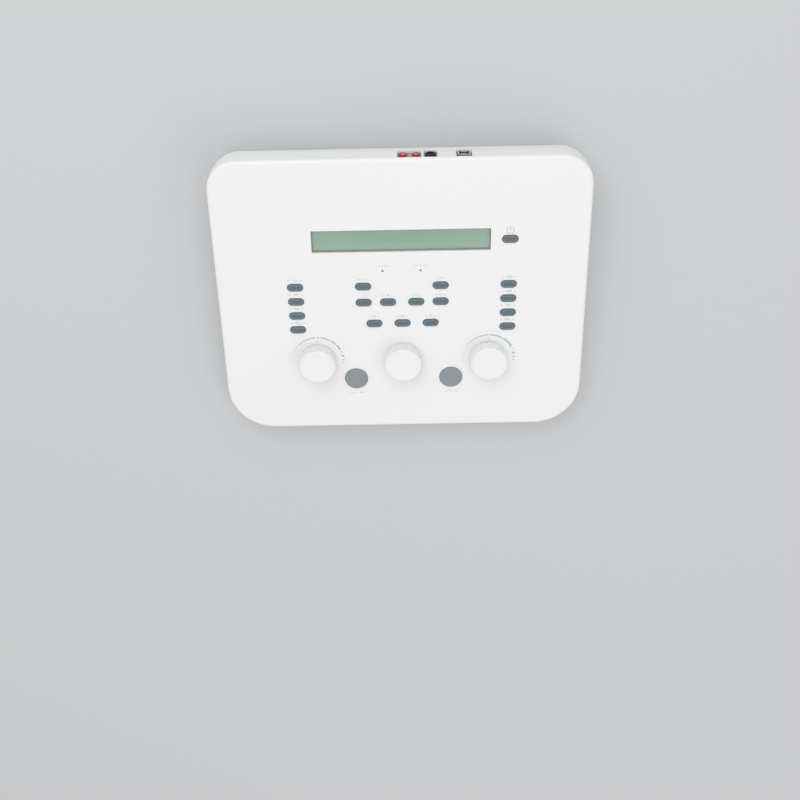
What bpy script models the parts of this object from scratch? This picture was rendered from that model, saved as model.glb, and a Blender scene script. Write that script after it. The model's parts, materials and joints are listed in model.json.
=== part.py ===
"""Desktop audiometer: a low wedge-shaped console with a sloping key panel.

The panel carries a long narrow display, eighteen slot-shaped keys, two round keys,
two lamps and three fluted dials. A row of sockets sits in the rear wall.

Units are metres. X runs along the console's width, Y towards the rear and Z up.
The origin is on the table, under the middle of the console. Pieces on the panel are
placed in the panel's own frame: x along the width, y up the slope and z out of the face.
"""

from math import cos, pi, radians, sin

import bmesh
import bpy
from mathutils import Matrix, Vector

# Driving dimensions of the console
CONSOLE_WIDTH = 0.365
CONSOLE_DEPTH = 0.295
FACE_SLOPE = radians(6.0)
FACE_HEIGHT = 0.046
FRONT_CORNER_RADIUS = 0.047
REAR_CORNER_RADIUS = 0.030
EDGE_RADIUS = 0.0035
WALL = 0.0025
SKIRT_DEPTH = 0.015
UNDERSIDE_HEIGHT = 0.003
UNDERSIDE_INSET = 0.024
GAP = 0.0003
OVERRUN = 0.004

# Where the tub's wall stops being straight, as a share of its height
STRAIGHT_SHARE = 0.03

# Smoothness of the curves
CORNER_STEPS = 6
EDGE_STEPS = 3
SWEEP_STEPS = 6
SLOT_STEPS = 4

# The lip that locates the two covers
LIP_HEIGHT = 0.0022
LIP_WALL = 0.0011

# Keys on the face
KEY_LENGTH = 0.0155
KEY_WIDTH = 0.0079
KEY_RISE = 0.0015
KEY_BEVEL = 0.0007
KEY_FLANGE = 0.0010
KEY_FLANGE_THICKNESS = 0.0012
KEY_STEM_WIDTH = 0.0040
KEY_STEM_LENGTH = 0.0015
KEY_TRAVEL = 0.0010
SIDE_COLUMN_X = 0.1052
SIDE_COLUMN_TOP_Y = 0.0166
SIDE_KEY_PITCH = 0.0157
SIDE_KEY_ROWS = 4
EAR_KEY_X = 0.0382
EAR_KEY_Y = 0.0165
TONE_KEY_Y = -0.00115
INNER_KEY_X = 0.0140
ROUTE_KEY_X = 0.0282
ROUTE_KEY_Y = -0.0248
POWER_KEY_REACH = 0.01865

# Round keys
ROUND_KEY_DIAMETER = 0.0232
ROUND_KEY_RISE = 0.0012
ROUND_KEY_BEVEL = 0.0005
ROUND_KEY_STEPS = 24
ROUND_KEY_X = 0.0486
ROUND_KEY_Y = -0.0885

# Dials and what they turn on
DIAL_DIAMETER = 0.037
DIAL_HEIGHT = 0.0155
DIAL_FLOAT = 0.0008
DIAL_TAPER = 0.0003
DIAL_SHOULDER = 0.0011
DIAL_RIM = 0.0009
DIAL_DISH = 0.0003
DIAL_WALL = 0.0022
DIAL_TOP_WALL = 0.0026
DIAL_HUB_DIAMETER = 0.0105
DIAL_HUB_LIFT = 0.0055
FLUTE_COUNT = 40
FLUTE_DEPTH = 0.0005
DIAL_X = 0.0869
DIAL_Y = -0.0658
SHAFT_DIAMETER = 0.006
SHAFT_FLAT = 0.0015
SHAFT_TIP_GAP = 0.001
SHAFT_FOOT_GAP = 0.0015
SHAFT_STEPS = 12
BUSHING_DIAMETER = 0.0085
BUSHING_RISE = 0.004
ENCODER_SIDE = 0.013
ENCODER_CLEARANCE = 0.0008

# Lamps
LAMP_DIAMETER = 0.0018
LAMP_RISE = 0.0005
LAMP_FOOT = 0.0008
LAMP_STEPS = 12
LAMP_X = 0.01865
LAMP_Y = 0.0331

# Display
WINDOW_WIDTH = 0.1733
WINDOW_HEIGHT = 0.0230
WINDOW_Y = 0.0647
WINDOW_CORNER = 0.0010
GLASS_THICKNESS = 0.0013
BEZEL_BORDER = 0.0009
BEZEL_LAP = 0.0015
BEZEL_THICKNESS = 0.0012
PANEL_THICKNESS = 0.0040
PANEL_MARGIN = 0.0010
DISPLAY_BOARD_LAP = 0.0072
DISPLAY_BOARD_RISE = 0.0070
DISPLAY_POST_DIAMETER = 0.0052
DISPLAY_POST_MARGIN = 0.0030

# Circuit boards and their screws
BOARD_THICKNESS = 0.0016
CONTROL_BOARD_DROP = 0.010
BOARD_MARGIN = 0.0050
BOARD_FRONT_MARGIN = 0.0025
BOARD_REAR_MARGIN = 0.0100
BOARD_GAP = 0.0015
SWITCH_SIDE = 0.006
SWITCH_BODY_HEIGHT = 0.0020
SWITCH_PLUNGER_SIDE = 0.0030
POST_DIAMETER = 0.007
POST_INSET = 0.0050
SCREW_DIAMETER = 0.0026
SCREW_HEAD_DIAMETER = 0.0050
SCREW_HEAD_HEIGHT = 0.0018
SCREW_LENGTH = 0.0065
SCREW_STEPS = 6

# Screws that hold the two covers together
COVER_BOSS_DIAMETER = 0.009
COVER_SCREW_DIAMETER = 0.0030
COVER_SCREW_HEAD_DIAMETER = 0.0060
COVER_SCREW_HEAD_HEIGHT = 0.0024
COVER_SCREW_LENGTH = 0.0150
COVER_SCREW_SEAT = 0.0045
REAR_BOSS_INSET = 0.0365
BOARD_BOSS_GAP = 0.003
FRONT_BOSS_INSET = 0.0460

# Sockets in the rear wall
SOCKET_BAY_LEFT_X = -0.002
SOCKET_BAY_SILL = 0.0215
SOCKET_BAY_TOP = 0.0036
SOCKET_BAY_CORNER = 0.0012
SOCKET_PANEL_THICKNESS = 0.0016
SOCKET_PANEL_SETBACK = 0.0008
SOCKET_PANEL_LAP = 0.0012
SOCKET_DROP = 0.012
SOCKET_PROUD = 0.0005
SOCKET_WEB = 0.0022
JACK_PITCH = 0.0122
JACK_NOSE_DIAMETER = 0.0076
JACK_BORE_DIAMETER = 0.0036
JACK_BORE_DEPTH = 0.012
JACK_BODY_SIDE = 0.0100
JACK_BODY_DEPTH = 0.0140
JACK_CORNER = 0.0010
SOCKET_MARGIN = 0.0014
USB_X = 0.0605
USB_WIDTH = 0.0120
USB_HEIGHT = 0.0108
USB_WALL = 0.0016
USB_DEPTH = 0.0150
USB_BORE_DEPTH = 0.0095
USB_TONGUE_WIDTH = 0.0056
USB_TONGUE_HEIGHT = 0.0032
USB_CORNER = 0.0016
INLET_DIAMETER = 0.0100
INLET_BORE_DIAMETER = 0.0064
INLET_PIN_DIAMETER = 0.0020
INLET_BORE_DEPTH = 0.0095
INLET_STEPS = 16

# Main board under the sockets
MAIN_BOARD_WIDTH = 0.140
MAIN_BOARD_DEPTH = 0.064
MAIN_BOARD_OVERHANG = 0.002
MAIN_POST_INSET = 0.0075
HEADER_WIDTH = 0.034
HEADER_DEPTH = 0.006
HEADER_HEIGHT = 0.0035
HEADER_EDGE = 0.003
RIBBON_WIDTH = 0.030
RIBBON_THICKNESS = 0.0010
RIBBON_SAG = 0.0035
RIBBON_STEPS = 8
RIBBON_X = 0.030

# Feet
FOOT_DIAMETER = 0.016
FOOT_SEAT = 0.0010
FOOT_TAPER = 0.0008
FOOT_EDGE = 0.0006
FOOT_STEPS = 14
FOOT_SIDE_INSET = 0.0395
FOOT_REAR_INSET = 0.0505
FOOT_FRONT_INSET = 0.0495

# Places worked out from the sizes above, in the panel's frame
HALF_WIDTH = CONSOLE_WIDTH / 2
HALF_DEPTH = CONSOLE_DEPTH / 2
POWER_KEY_X = WINDOW_WIDTH / 2 + POWER_KEY_REACH
POWER_KEY_Y = WINDOW_Y
CONTROL_BOARD_TOP = -CONTROL_BOARD_DROP
KEY_FLANGE_TOP = -WALL - GAP
KEY_FLANGE_FOOT = KEY_FLANGE_TOP - KEY_FLANGE_THICKNESS
KEY_STEM_FOOT = KEY_FLANGE_FOOT - KEY_STEM_LENGTH
SWITCH_TOP = KEY_STEM_FOOT - KEY_TRAVEL - GAP
BEZEL_TOP = -WALL - GAP
PANEL_TOP = BEZEL_TOP - BEZEL_THICKNESS - GAP
DISPLAY_BOARD_TOP = PANEL_TOP - PANEL_THICKNESS - GAP
DISPLAY_BOARD_HALF_X = WINDOW_WIDTH / 2 + DISPLAY_BOARD_LAP + GAP
DISPLAY_BOARD_HALF_Y = WINDOW_HEIGHT / 2 + DISPLAY_BOARD_RISE
DISPLAY_POST_X = DISPLAY_BOARD_HALF_X - DISPLAY_POST_MARGIN
DISPLAY_POST_Y = DISPLAY_BOARD_HALF_Y - DISPLAY_POST_MARGIN
REAR_WALL_INSIDE = HALF_DEPTH - WALL
SOCKET_PANEL_FRONT = REAR_WALL_INSIDE - SOCKET_PANEL_SETBACK
SOCKET_PANEL_BACK = SOCKET_PANEL_FRONT - SOCKET_PANEL_THICKNESS
SOCKET_TIP = HALF_DEPTH + SOCKET_PROUD
SOCKET_BODY_FRONT = SOCKET_PANEL_BACK - GAP
JACK_LEFT_X = SOCKET_BAY_LEFT_X + SOCKET_MARGIN + JACK_NOSE_DIAMETER / 2
JACK_RIGHT_X = JACK_LEFT_X + JACK_PITCH
JACK_BAY_RIGHT_X = JACK_RIGHT_X + JACK_NOSE_DIAMETER / 2 + SOCKET_MARGIN
INLET_BAY_LEFT_X = JACK_BAY_RIGHT_X + SOCKET_WEB
INLET_X = INLET_BAY_LEFT_X + SOCKET_MARGIN + INLET_DIAMETER / 2
SOCKET_BAY_RIGHT_X = USB_X + USB_WIDTH / 2 + SOCKET_MARGIN
MAIN_BOARD_TOP = -SOCKET_DROP - USB_HEIGHT / 2 - GAP
MAIN_BOARD_REAR = SOCKET_BODY_FRONT - GAP
MAIN_BOARD_FRONT = MAIN_BOARD_REAR - MAIN_BOARD_DEPTH
MAIN_BOARD_RIGHT = SOCKET_BAY_RIGHT_X + MAIN_BOARD_OVERHANG
MAIN_BOARD_LEFT = MAIN_BOARD_RIGHT - MAIN_BOARD_WIDTH
BOARD_HALF_X = max(SIDE_COLUMN_X, POWER_KEY_X) + KEY_LENGTH / 2 + BOARD_MARGIN
BOARD_FRONT = ROUND_KEY_Y - ROUND_KEY_DIAMETER / 2 - BOARD_FRONT_MARGIN
BOARD_REAR = WINDOW_Y - DISPLAY_BOARD_HALF_Y - BOARD_GAP
BOARD_LOBE_LEFT = DISPLAY_BOARD_HALF_X + BOARD_GAP
BOARD_LOBE_REAR = POWER_KEY_Y + BOARD_REAR_MARGIN
FACE_NORMAL = Vector((0.0, -sin(FACE_SLOPE), cos(FACE_SLOPE)))

# Base colour, roughness and metallic value of each finish
FINISHES = {
    "white_housing": ((0.86, 0.87, 0.87), 0.38, 0.0),
    "white_dial": ((0.84, 0.85, 0.85), 0.45, 0.0),
    "slate_key": ((0.115, 0.155, 0.185), 0.50, 0.0),
    "slate_round_key": ((0.235, 0.275, 0.300), 0.42, 0.0),
    "display_green": ((0.27, 0.40, 0.31), 0.35, 0.0),
    "clear_glass": ((0.80, 0.86, 0.84), 0.08, 0.0),
    "black_plastic": ((0.02, 0.02, 0.022), 0.55, 0.0),
    "lamp_lens": ((0.10, 0.12, 0.11), 0.25, 0.0),
    "board_green": ((0.03, 0.17, 0.07), 0.50, 0.0),
    "bright_metal": ((0.72, 0.72, 0.70), 0.30, 1.0),
    "red_plastic": ((0.78, 0.07, 0.06), 0.45, 0.0),
    "ribbon_grey": ((0.45, 0.46, 0.48), 0.60, 0.0),
    "foot_rubber": ((0.03, 0.03, 0.03), 0.80, 0.0),
}


def tub_profile():
    """Inset and share of the height of each ring of the tub, from its rim to its underside."""
    steps = [(0.0, 0.0)]
    for i in range(SWEEP_STEPS + 1):
        turn = pi / 2 * i / SWEEP_STEPS
        share = STRAIGHT_SHARE + (1 - STRAIGHT_SHARE) * sin(turn)
        steps.append((UNDERSIDE_INSET * (1 - cos(turn)), share))
    return steps


def rear_reach():
    """How far the rear wall, which leans back, reaches behind the face's centre."""
    rim = SKIRT_DEPTH + GAP
    reaches = []
    for inset, share in tub_profile():
        y = HALF_DEPTH - inset
        drop = (FACE_HEIGHT + y * sin(FACE_SLOPE) - UNDERSIDE_HEIGHT) / cos(FACE_SLOPE)
        reaches.append(y * cos(FACE_SLOPE) + (rim + share * (drop - rim)) * sin(FACE_SLOPE))
    return max(reaches)


def front_reach():
    """How far the front edge reaches before the face's centre, where its rounding starts."""
    return HALF_DEPTH * cos(FACE_SLOPE) - EDGE_RADIUS * sin(FACE_SLOPE)


FACE_CENTRE = Vector((0.0, (front_reach() - rear_reach()) / 2, FACE_HEIGHT))
FACE_MATRIX = Matrix.Translation(FACE_CENTRE) @ Matrix.Rotation(FACE_SLOPE, 4, "X")


def clear_scene():
    """Remove whatever the scene held before."""
    for item in list(bpy.data.objects):
        bpy.data.objects.remove(item, do_unlink=True)


def finish(name):
    """Return the named finish, made once."""
    if name in bpy.data.materials:
        return bpy.data.materials[name]
    colour, roughness, metallic = FINISHES[name]
    made = bpy.data.materials.new(name)
    made.use_nodes = True
    shader = made.node_tree.nodes["Principled BSDF"]
    shader.inputs["Base Color"].default_value = (*colour, 1.0)
    shader.inputs["Roughness"].default_value = roughness
    shader.inputs["Metallic"].default_value = metallic
    return made


def circle_loop(radius, steps):
    """Points of a circle, counterclockwise from +x."""
    turns = [2 * pi * i / steps for i in range(steps)]
    return [(radius * cos(a), radius * sin(a)) for a in turns]


def flat_circle_loop(radius, flat_depth, steps):
    """A circle with one side cut flat, as on the end of a dial's shaft."""
    limit = radius - flat_depth
    return [(x, min(y, limit)) for x, y in circle_loop(radius, steps)]


def fluted_loop(radius, depth, count):
    """A circle whose points step in and out, two to each flute."""
    points = []
    for i in range(2 * count):
        reach = radius - depth * (i % 2)
        turn = pi * i / count
        points.append((reach * cos(turn), reach * sin(turn)))
    return points


def slot_loop(length, width, steps):
    """A slot with half-round ends, counterclockwise."""
    radius = width / 2
    run = (length - width) / 2
    points = []
    for side, start in ((run, -pi / 2), (-run, pi / 2)):
        for i in range(steps + 1):
            turn = start + pi * i / steps
            points.append((side + radius * cos(turn), radius * sin(turn)))
    return points


def corner_loop(half_x, half_y, front_radius, rear_radius, steps):
    """A rectangle with rounded corners, counterclockwise from the front right one."""
    corners = (
        (half_x - front_radius, front_radius - half_y, front_radius, -pi / 2),
        (half_x - rear_radius, half_y - rear_radius, rear_radius, 0.0),
        (rear_radius - half_x, half_y - rear_radius, rear_radius, pi / 2),
        (front_radius - half_x, front_radius - half_y, front_radius, pi),
    )
    points = []
    for x, y, radius, start in corners:
        for i in range(steps + 1):
            turn = start + pi / 2 * i / steps
            points.append((x + radius * cos(turn), y + radius * sin(turn)))
    return points


def soft_rectangle(width, height, radius, steps=2):
    """A rectangle with four equal rounded corners."""
    return corner_loop(width / 2, height / 2, radius, radius, steps)


def console_loop(inset):
    """The console's outline, moved inwards by inset."""
    return corner_loop(
        HALF_WIDTH - inset,
        HALF_DEPTH - inset,
        FRONT_CORNER_RADIUS - inset,
        REAR_CORNER_RADIUS - inset,
        CORNER_STEPS,
    )


def skin_rows(bm, rows):
    """Join rows of 3-D points into one closed skin with a face over each end."""
    rings = [[bm.verts.new(point) for point in row] for row in rows]
    for lower, upper in zip(rings, rings[1:]):
        for i in range(len(lower)):
            j = (i + 1) % len(lower)
            bm.faces.new((lower[i], lower[j], upper[j], upper[i]))
    bm.faces.new(list(reversed(rings[0])))
    bm.faces.new(rings[-1])


def loft(bm, levels, at=(0.0, 0.0)):
    """Skin flat loops, each with its own height, round the place at."""
    rows = [[(at[0] + x, at[1] + y, z) for x, y in loop] for loop, z in levels]
    skin_rows(bm, rows)


def add_prism(bm, loop, low, high, at=(0.0, 0.0)):
    """Add a straight-sided solid between two heights."""
    loft(bm, [(loop, low), (loop, high)], at)


def add_block(bm, low_corner, high_corner):
    """Add a rectangular block between two opposite corners."""
    (x0, y0, z0), (x1, y1, z1) = low_corner, high_corner
    add_prism(bm, [(x0, y0), (x1, y0), (x1, y1), (x0, y1)], z0, z1)


def put_object(name, bm, finish_name, parent=None, location=(0.0, 0.0, 0.0), rotation=(0.0, 0.0, 0.0)):
    """Turn a bmesh into a named object with smooth curves and crisp edges."""
    mesh = bpy.data.meshes.new(name)
    bm.to_mesh(mesh)
    bm.free()
    mesh.shade_smooth()
    mesh.set_sharp_from_angle(angle=radians(32))
    mesh.materials.append(finish(finish_name))
    made = bpy.data.objects.new(name, mesh)
    made.location = location
    made.rotation_euler = rotation
    made.parent = parent
    bpy.context.scene.collection.objects.link(made)
    return made


def put_tool(name, bm, parent=None):
    """Make a helper shape that only cuts or adds to other pieces."""
    tool = put_object(name, bm, "black_plastic", parent)
    tool.display_type = "WIRE"
    tool.hide_render = True
    return tool


def combine(piece, tool, operation):
    """Cut a helper shape out of a piece, or add it to the piece."""
    step = piece.modifiers.new(f"{operation.lower()} {tool.name}", "BOOLEAN")
    step.operation = operation
    step.solver = "EXACT"
    step.object = tool


def key_places():
    """Name and place of each slot-shaped key."""
    places = [
        ("power_key", POWER_KEY_X, POWER_KEY_Y),
        ("ear_left_key", -EAR_KEY_X, EAR_KEY_Y),
        ("ear_right_key", EAR_KEY_X, EAR_KEY_Y),
        ("pulse_key", -EAR_KEY_X, TONE_KEY_Y),
        ("lock_key", EAR_KEY_X, TONE_KEY_Y),
        ("reverse_key", -INNER_KEY_X, TONE_KEY_Y),
        ("store_key", INNER_KEY_X, TONE_KEY_Y),
        ("air_key", -ROUTE_KEY_X, ROUTE_KEY_Y),
        ("bone_key", 0.0, ROUTE_KEY_Y),
        ("field_key", ROUTE_KEY_X, ROUTE_KEY_Y),
    ]
    for row in range(SIDE_KEY_ROWS):
        y = SIDE_COLUMN_TOP_Y - row * SIDE_KEY_PITCH
        places.append((f"left_side_key_{row + 1}", -SIDE_COLUMN_X, y))
        places.append((f"right_side_key_{row + 1}", SIDE_COLUMN_X, y))
    return places


def round_key_places():
    """Name and place of the two round keys."""
    return [("present_key", -ROUND_KEY_X, ROUND_KEY_Y), ("talk_key", ROUND_KEY_X, ROUND_KEY_Y)]


def dial_places():
    """Side and place of the three dials."""
    return [("left", -DIAL_X, DIAL_Y), ("center", 0.0, DIAL_Y), ("right", DIAL_X, DIAL_Y)]


def lamp_places():
    """Name and place of the two lamps."""
    return [("lamp_left", -LAMP_X, LAMP_Y), ("lamp_right", LAMP_X, LAMP_Y)]


def cover_screw_places():
    """Name and place of the four screws that hold the covers together."""
    side = max(BOARD_HALF_X, MAIN_BOARD_RIGHT) + BOARD_BOSS_GAP + COVER_BOSS_DIAMETER / 2
    front = FRONT_BOSS_INSET - HALF_DEPTH
    rear = HALF_DEPTH - REAR_BOSS_INSET
    return [
        ("cover_screw_front_left", -side, front),
        ("cover_screw_front_right", side, front),
        ("cover_screw_rear_left", -side, rear),
        ("cover_screw_rear_right", side, rear),
    ]


def control_post_places():
    """Places of the six posts that carry the control board."""
    front = BOARD_FRONT + POST_INSET
    rear = BOARD_REAR - POST_INSET
    side = BOARD_HALF_X - POST_INSET
    return [(x, y) for x in (-side, 0.0, side) for y in (front, rear)]


def display_post_places():
    """Places of the four posts that carry the display board."""
    rows = (WINDOW_Y - DISPLAY_POST_Y, WINDOW_Y + DISPLAY_POST_Y)
    return [(x, y) for x in (-DISPLAY_POST_X, DISPLAY_POST_X) for y in rows]


def main_post_places():
    """Places of the four posts that carry the main board."""
    sides = (MAIN_BOARD_LEFT + MAIN_POST_INSET, MAIN_BOARD_RIGHT - MAIN_POST_INSET)
    ends = (MAIN_BOARD_FRONT + MAIN_POST_INSET, SOCKET_BODY_FRONT - JACK_BODY_DEPTH - MAIN_POST_INSET)
    return [(x, y) for x in sides for y in ends]


def bore_diameter(screw_diameter):
    """A hole that clears a screw all round."""
    return screw_diameter + 2 * GAP


def face_openings(frame):
    """Everything that is cut through the face: window, keys, dials and lamps."""
    bm = bmesh.new()
    low, high = -WALL - OVERRUN, OVERRUN
    window = soft_rectangle(WINDOW_WIDTH, WINDOW_HEIGHT, WINDOW_CORNER)
    add_prism(bm, window, low, high, (0.0, WINDOW_Y))
    slot = slot_loop(KEY_LENGTH + 2 * GAP, KEY_WIDTH + 2 * GAP, SLOT_STEPS)
    for _, x, y in key_places():
        add_prism(bm, slot, low, high, (x, y))
    disc = circle_loop(ROUND_KEY_DIAMETER / 2 + GAP, ROUND_KEY_STEPS)
    for _, x, y in round_key_places():
        add_prism(bm, disc, low, high, (x, y))
    neck = circle_loop(BUSHING_DIAMETER / 2 + GAP, SHAFT_STEPS)
    for _, x, y in dial_places():
        add_prism(bm, neck, low, high, (x, y))
    lens = circle_loop(LAMP_DIAMETER / 2 + GAP, LAMP_STEPS)
    for _, x, y in lamp_places():
        add_prism(bm, lens, low, high, (x, y))
    return put_tool("face_openings", bm, frame)


def socket_bays(frame):
    """The openings in the rear wall, side by side, cut through both covers."""
    bm = bmesh.new()
    height = SOCKET_BAY_SILL - SOCKET_BAY_TOP
    middle_z = (SOCKET_BAY_SILL + SOCKET_BAY_TOP) / 2
    bays = (
        (SOCKET_BAY_LEFT_X, JACK_BAY_RIGHT_X),
        (INLET_BAY_LEFT_X, INLET_X + INLET_DIAMETER / 2 + SOCKET_MARGIN),
        (USB_X - USB_WIDTH / 2 - SOCKET_MARGIN, SOCKET_BAY_RIGHT_X),
    )
    for left, right in bays:
        loop = soft_rectangle(right - left, height, SOCKET_BAY_CORNER)
        middle_x = (right + left) / 2
        rows = []
        for y in (HALF_DEPTH + OVERRUN, SOCKET_PANEL_FRONT):
            rows.append([(middle_x + x, y, z - middle_z) for x, z in loop])
        skin_rows(bm, rows)
    return put_tool("socket_bays", bm, frame)


def cover_posts(frame):
    """Screw bosses and board posts that hang under the face."""
    bm = bmesh.new()
    root = -WALL / 2
    boss = circle_loop(COVER_BOSS_DIAMETER / 2, SHAFT_STEPS)
    for _, x, y in cover_screw_places():
        add_prism(bm, boss, -SKIRT_DEPTH, root, (x, y))
    post = circle_loop(POST_DIAMETER / 2, SCREW_STEPS)
    for place in control_post_places():
        add_prism(bm, post, CONTROL_BOARD_TOP + GAP, root, place)
    small = circle_loop(DISPLAY_POST_DIAMETER / 2, SCREW_STEPS)
    for place in display_post_places():
        add_prism(bm, small, DISPLAY_BOARD_TOP + GAP, root, place)
    return put_tool("cover_posts", bm, frame)


def cover_pilot_bores(frame):
    """Blind bores for the screws, up from the end of each boss and post."""
    bm = bmesh.new()
    wide = circle_loop(bore_diameter(COVER_SCREW_DIAMETER) / 2, SCREW_STEPS)
    for _, x, y in cover_screw_places():
        add_prism(bm, wide, -SKIRT_DEPTH - OVERRUN, -WALL, (x, y))
    narrow = circle_loop(bore_diameter(SCREW_DIAMETER) / 2, SCREW_STEPS)
    for place in control_post_places():
        add_prism(bm, narrow, CONTROL_BOARD_TOP - OVERRUN, -WALL, place)
    for place in display_post_places():
        add_prism(bm, narrow, DISPLAY_BOARD_TOP - OVERRUN, -WALL, place)
    return put_tool("cover_pilot_bores", bm, frame)


def make_top_cover(frame):
    """The upper moulding: a flat face with a rounded edge and a straight skirt."""
    inner_step = WALL - LIP_WALL - GAP
    rebate = LIP_HEIGHT + GAP - SKIRT_DEPTH
    levels = [
        (console_loop(WALL), -WALL),
        (console_loop(WALL), rebate),
        (console_loop(inner_step), rebate),
        (console_loop(inner_step), -SKIRT_DEPTH),
        (console_loop(0.0), -SKIRT_DEPTH),
    ]
    for i in range(EDGE_STEPS + 1):
        turn = pi / 2 * i / EDGE_STEPS
        inset = EDGE_RADIUS * (1 - cos(turn))
        levels.append((console_loop(inset), EDGE_RADIUS * (sin(turn) - 1)))
    bm = bmesh.new()
    loft(bm, levels)
    cover = put_object("top_cover", bm, "white_housing", frame)
    combine(cover, cover_posts(frame), "UNION")
    combine(cover, cover_pilot_bores(frame), "DIFFERENCE")
    combine(cover, face_openings(frame), "DIFFERENCE")
    combine(cover, socket_bays(frame), "DIFFERENCE")
    return cover


def tub_row(inset, drop_share, floor_height, top_drop):
    """One ring of the tub, in world space, between the parting plane and a level floor."""
    row = []
    for x, y in console_loop(inset):
        start = FACE_MATRIX @ Vector((x, y, -top_drop))
        run = (start.z - floor_height) / FACE_NORMAL.z
        row.append(start - FACE_NORMAL * run * drop_share)
    return row


def floor_drop(y, floor_height):
    """How far under the face a level floor lies, at a place up the slope."""
    start = FACE_MATRIX @ Vector((0.0, y, 0.0))
    return (start.z - floor_height) / FACE_NORMAL.z


def tub_posts(frame):
    """Screw columns and board posts that stand on the tub's floor."""
    bm = bmesh.new()
    root = UNDERSIDE_HEIGHT + WALL / 2
    column = circle_loop(COVER_BOSS_DIAMETER / 2, SHAFT_STEPS)
    for _, x, y in cover_screw_places():
        add_prism(bm, column, -floor_drop(y, root), -SKIRT_DEPTH - GAP, (x, y))
    post = circle_loop(POST_DIAMETER / 2, SCREW_STEPS)
    top = MAIN_BOARD_TOP - BOARD_THICKNESS - GAP
    for place in main_post_places():
        add_prism(bm, post, -floor_drop(place[1], root), top, place)
    return put_tool("tub_posts", bm, frame)


def tub_bores(frame):
    """Holes and counterbores for the cover screws, and bores for the main board's."""
    bm = bmesh.new()
    head = circle_loop(COVER_SCREW_HEAD_DIAMETER / 2 + 2 * GAP, SHAFT_STEPS)
    shank = circle_loop(bore_diameter(COVER_SCREW_DIAMETER) / 2, SHAFT_STEPS)
    seat = -SKIRT_DEPTH - GAP - COVER_SCREW_SEAT
    for _, x, y in cover_screw_places():
        foot = -floor_drop(y, 0.0) - OVERRUN
        loft(bm, [(head, foot), (head, seat), (shank, seat), (shank, OVERRUN - SKIRT_DEPTH)], (x, y))
    bore = circle_loop(bore_diameter(SCREW_DIAMETER) / 2, SCREW_STEPS)
    top = MAIN_BOARD_TOP - BOARD_THICKNESS
    for place in main_post_places():
        add_prism(bm, bore, top - SCREW_LENGTH - GAP, top + OVERRUN, place)
    return put_tool("tub_bores", bm, frame)


def foot_places():
    """Name and place of each foot, on the table's plane."""
    side = HALF_WIDTH - FOOT_SIDE_INSET
    rear = HALF_DEPTH - FOOT_REAR_INSET
    front = FOOT_FRONT_INSET - HALF_DEPTH
    return [
        ("foot_front_left", -side, front),
        ("foot_front_right", side, front),
        ("foot_rear_left", -side, rear),
        ("foot_rear_right", side, rear),
    ]


def foot_seats():
    """Shallow round pockets in the underside for the feet."""
    bm = bmesh.new()
    pocket = circle_loop(FOOT_DIAMETER / 2 + GAP, FOOT_STEPS)
    for _, x, y in foot_places():
        add_prism(bm, pocket, 0.0, UNDERSIDE_HEIGHT + FOOT_SEAT, (x, y))
    return put_tool("foot_seats", bm)


def make_bottom_cover(frame):
    """The lower moulding: a tub that sweeps in to a level underside."""
    rim = SKIRT_DEPTH + GAP
    lip_top = SKIRT_DEPTH - LIP_HEIGHT
    floor = UNDERSIDE_HEIGHT + WALL
    outside = [tub_row(inset, share, UNDERSIDE_HEIGHT, rim) for inset, share in tub_profile()]
    inside = [tub_row(inset + WALL, share, floor, rim) for inset, share in tub_profile()[1:]]
    lip = [
        tub_row(WALL, 0.0, floor, lip_top),
        tub_row(WALL - LIP_WALL, 0.0, floor, lip_top),
        tub_row(WALL - LIP_WALL, 0.0, floor, rim),
    ]
    bm = bmesh.new()
    skin_rows(bm, list(reversed(outside)) + list(reversed(lip)) + inside)
    tub = put_object("bottom_cover", bm, "white_housing")
    combine(tub, tub_posts(frame), "UNION")
    combine(tub, tub_bores(frame), "DIFFERENCE")
    combine(tub, foot_seats(), "DIFFERENCE")
    combine(tub, bpy.data.objects["socket_bays"], "DIFFERENCE")
    return tub


def make_feet():
    """Four round rubber feet, a little narrower at the table."""
    radius = FOOT_DIAMETER / 2
    top = UNDERSIDE_HEIGHT + FOOT_SEAT - GAP
    levels = [
        (circle_loop(radius - FOOT_TAPER - FOOT_EDGE, FOOT_STEPS), 0.0),
        (circle_loop(radius - FOOT_TAPER, FOOT_STEPS), FOOT_EDGE),
        (circle_loop(radius, FOOT_STEPS), top),
    ]
    for name, x, y in foot_places():
        bm = bmesh.new()
        loft(bm, levels)
        put_object(name, bm, "foot_rubber", None, (x, y, 0.0))


def make_keys(frame):
    """Slot-shaped keys: a bevelled cap, a flange held under the face and a stem."""
    cap = slot_loop(KEY_LENGTH, KEY_WIDTH, SLOT_STEPS)
    crown = slot_loop(KEY_LENGTH - 2 * KEY_BEVEL, KEY_WIDTH - 2 * KEY_BEVEL, SLOT_STEPS)
    flange = slot_loop(KEY_LENGTH + 2 * KEY_FLANGE, KEY_WIDTH + 2 * KEY_FLANGE, SLOT_STEPS)
    stem = slot_loop(KEY_LENGTH / 2, KEY_STEM_WIDTH, SLOT_STEPS)
    levels = [
        (stem, KEY_STEM_FOOT),
        (stem, KEY_FLANGE_FOOT),
        (flange, KEY_FLANGE_FOOT),
        (flange, KEY_FLANGE_TOP),
        (cap, KEY_FLANGE_TOP),
        (cap, KEY_RISE - KEY_BEVEL),
        (crown, KEY_RISE),
    ]
    for name, x, y in key_places():
        bm = bmesh.new()
        loft(bm, levels)
        put_object(name, bm, "slate_key", frame, (x, y, 0.0))


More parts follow.
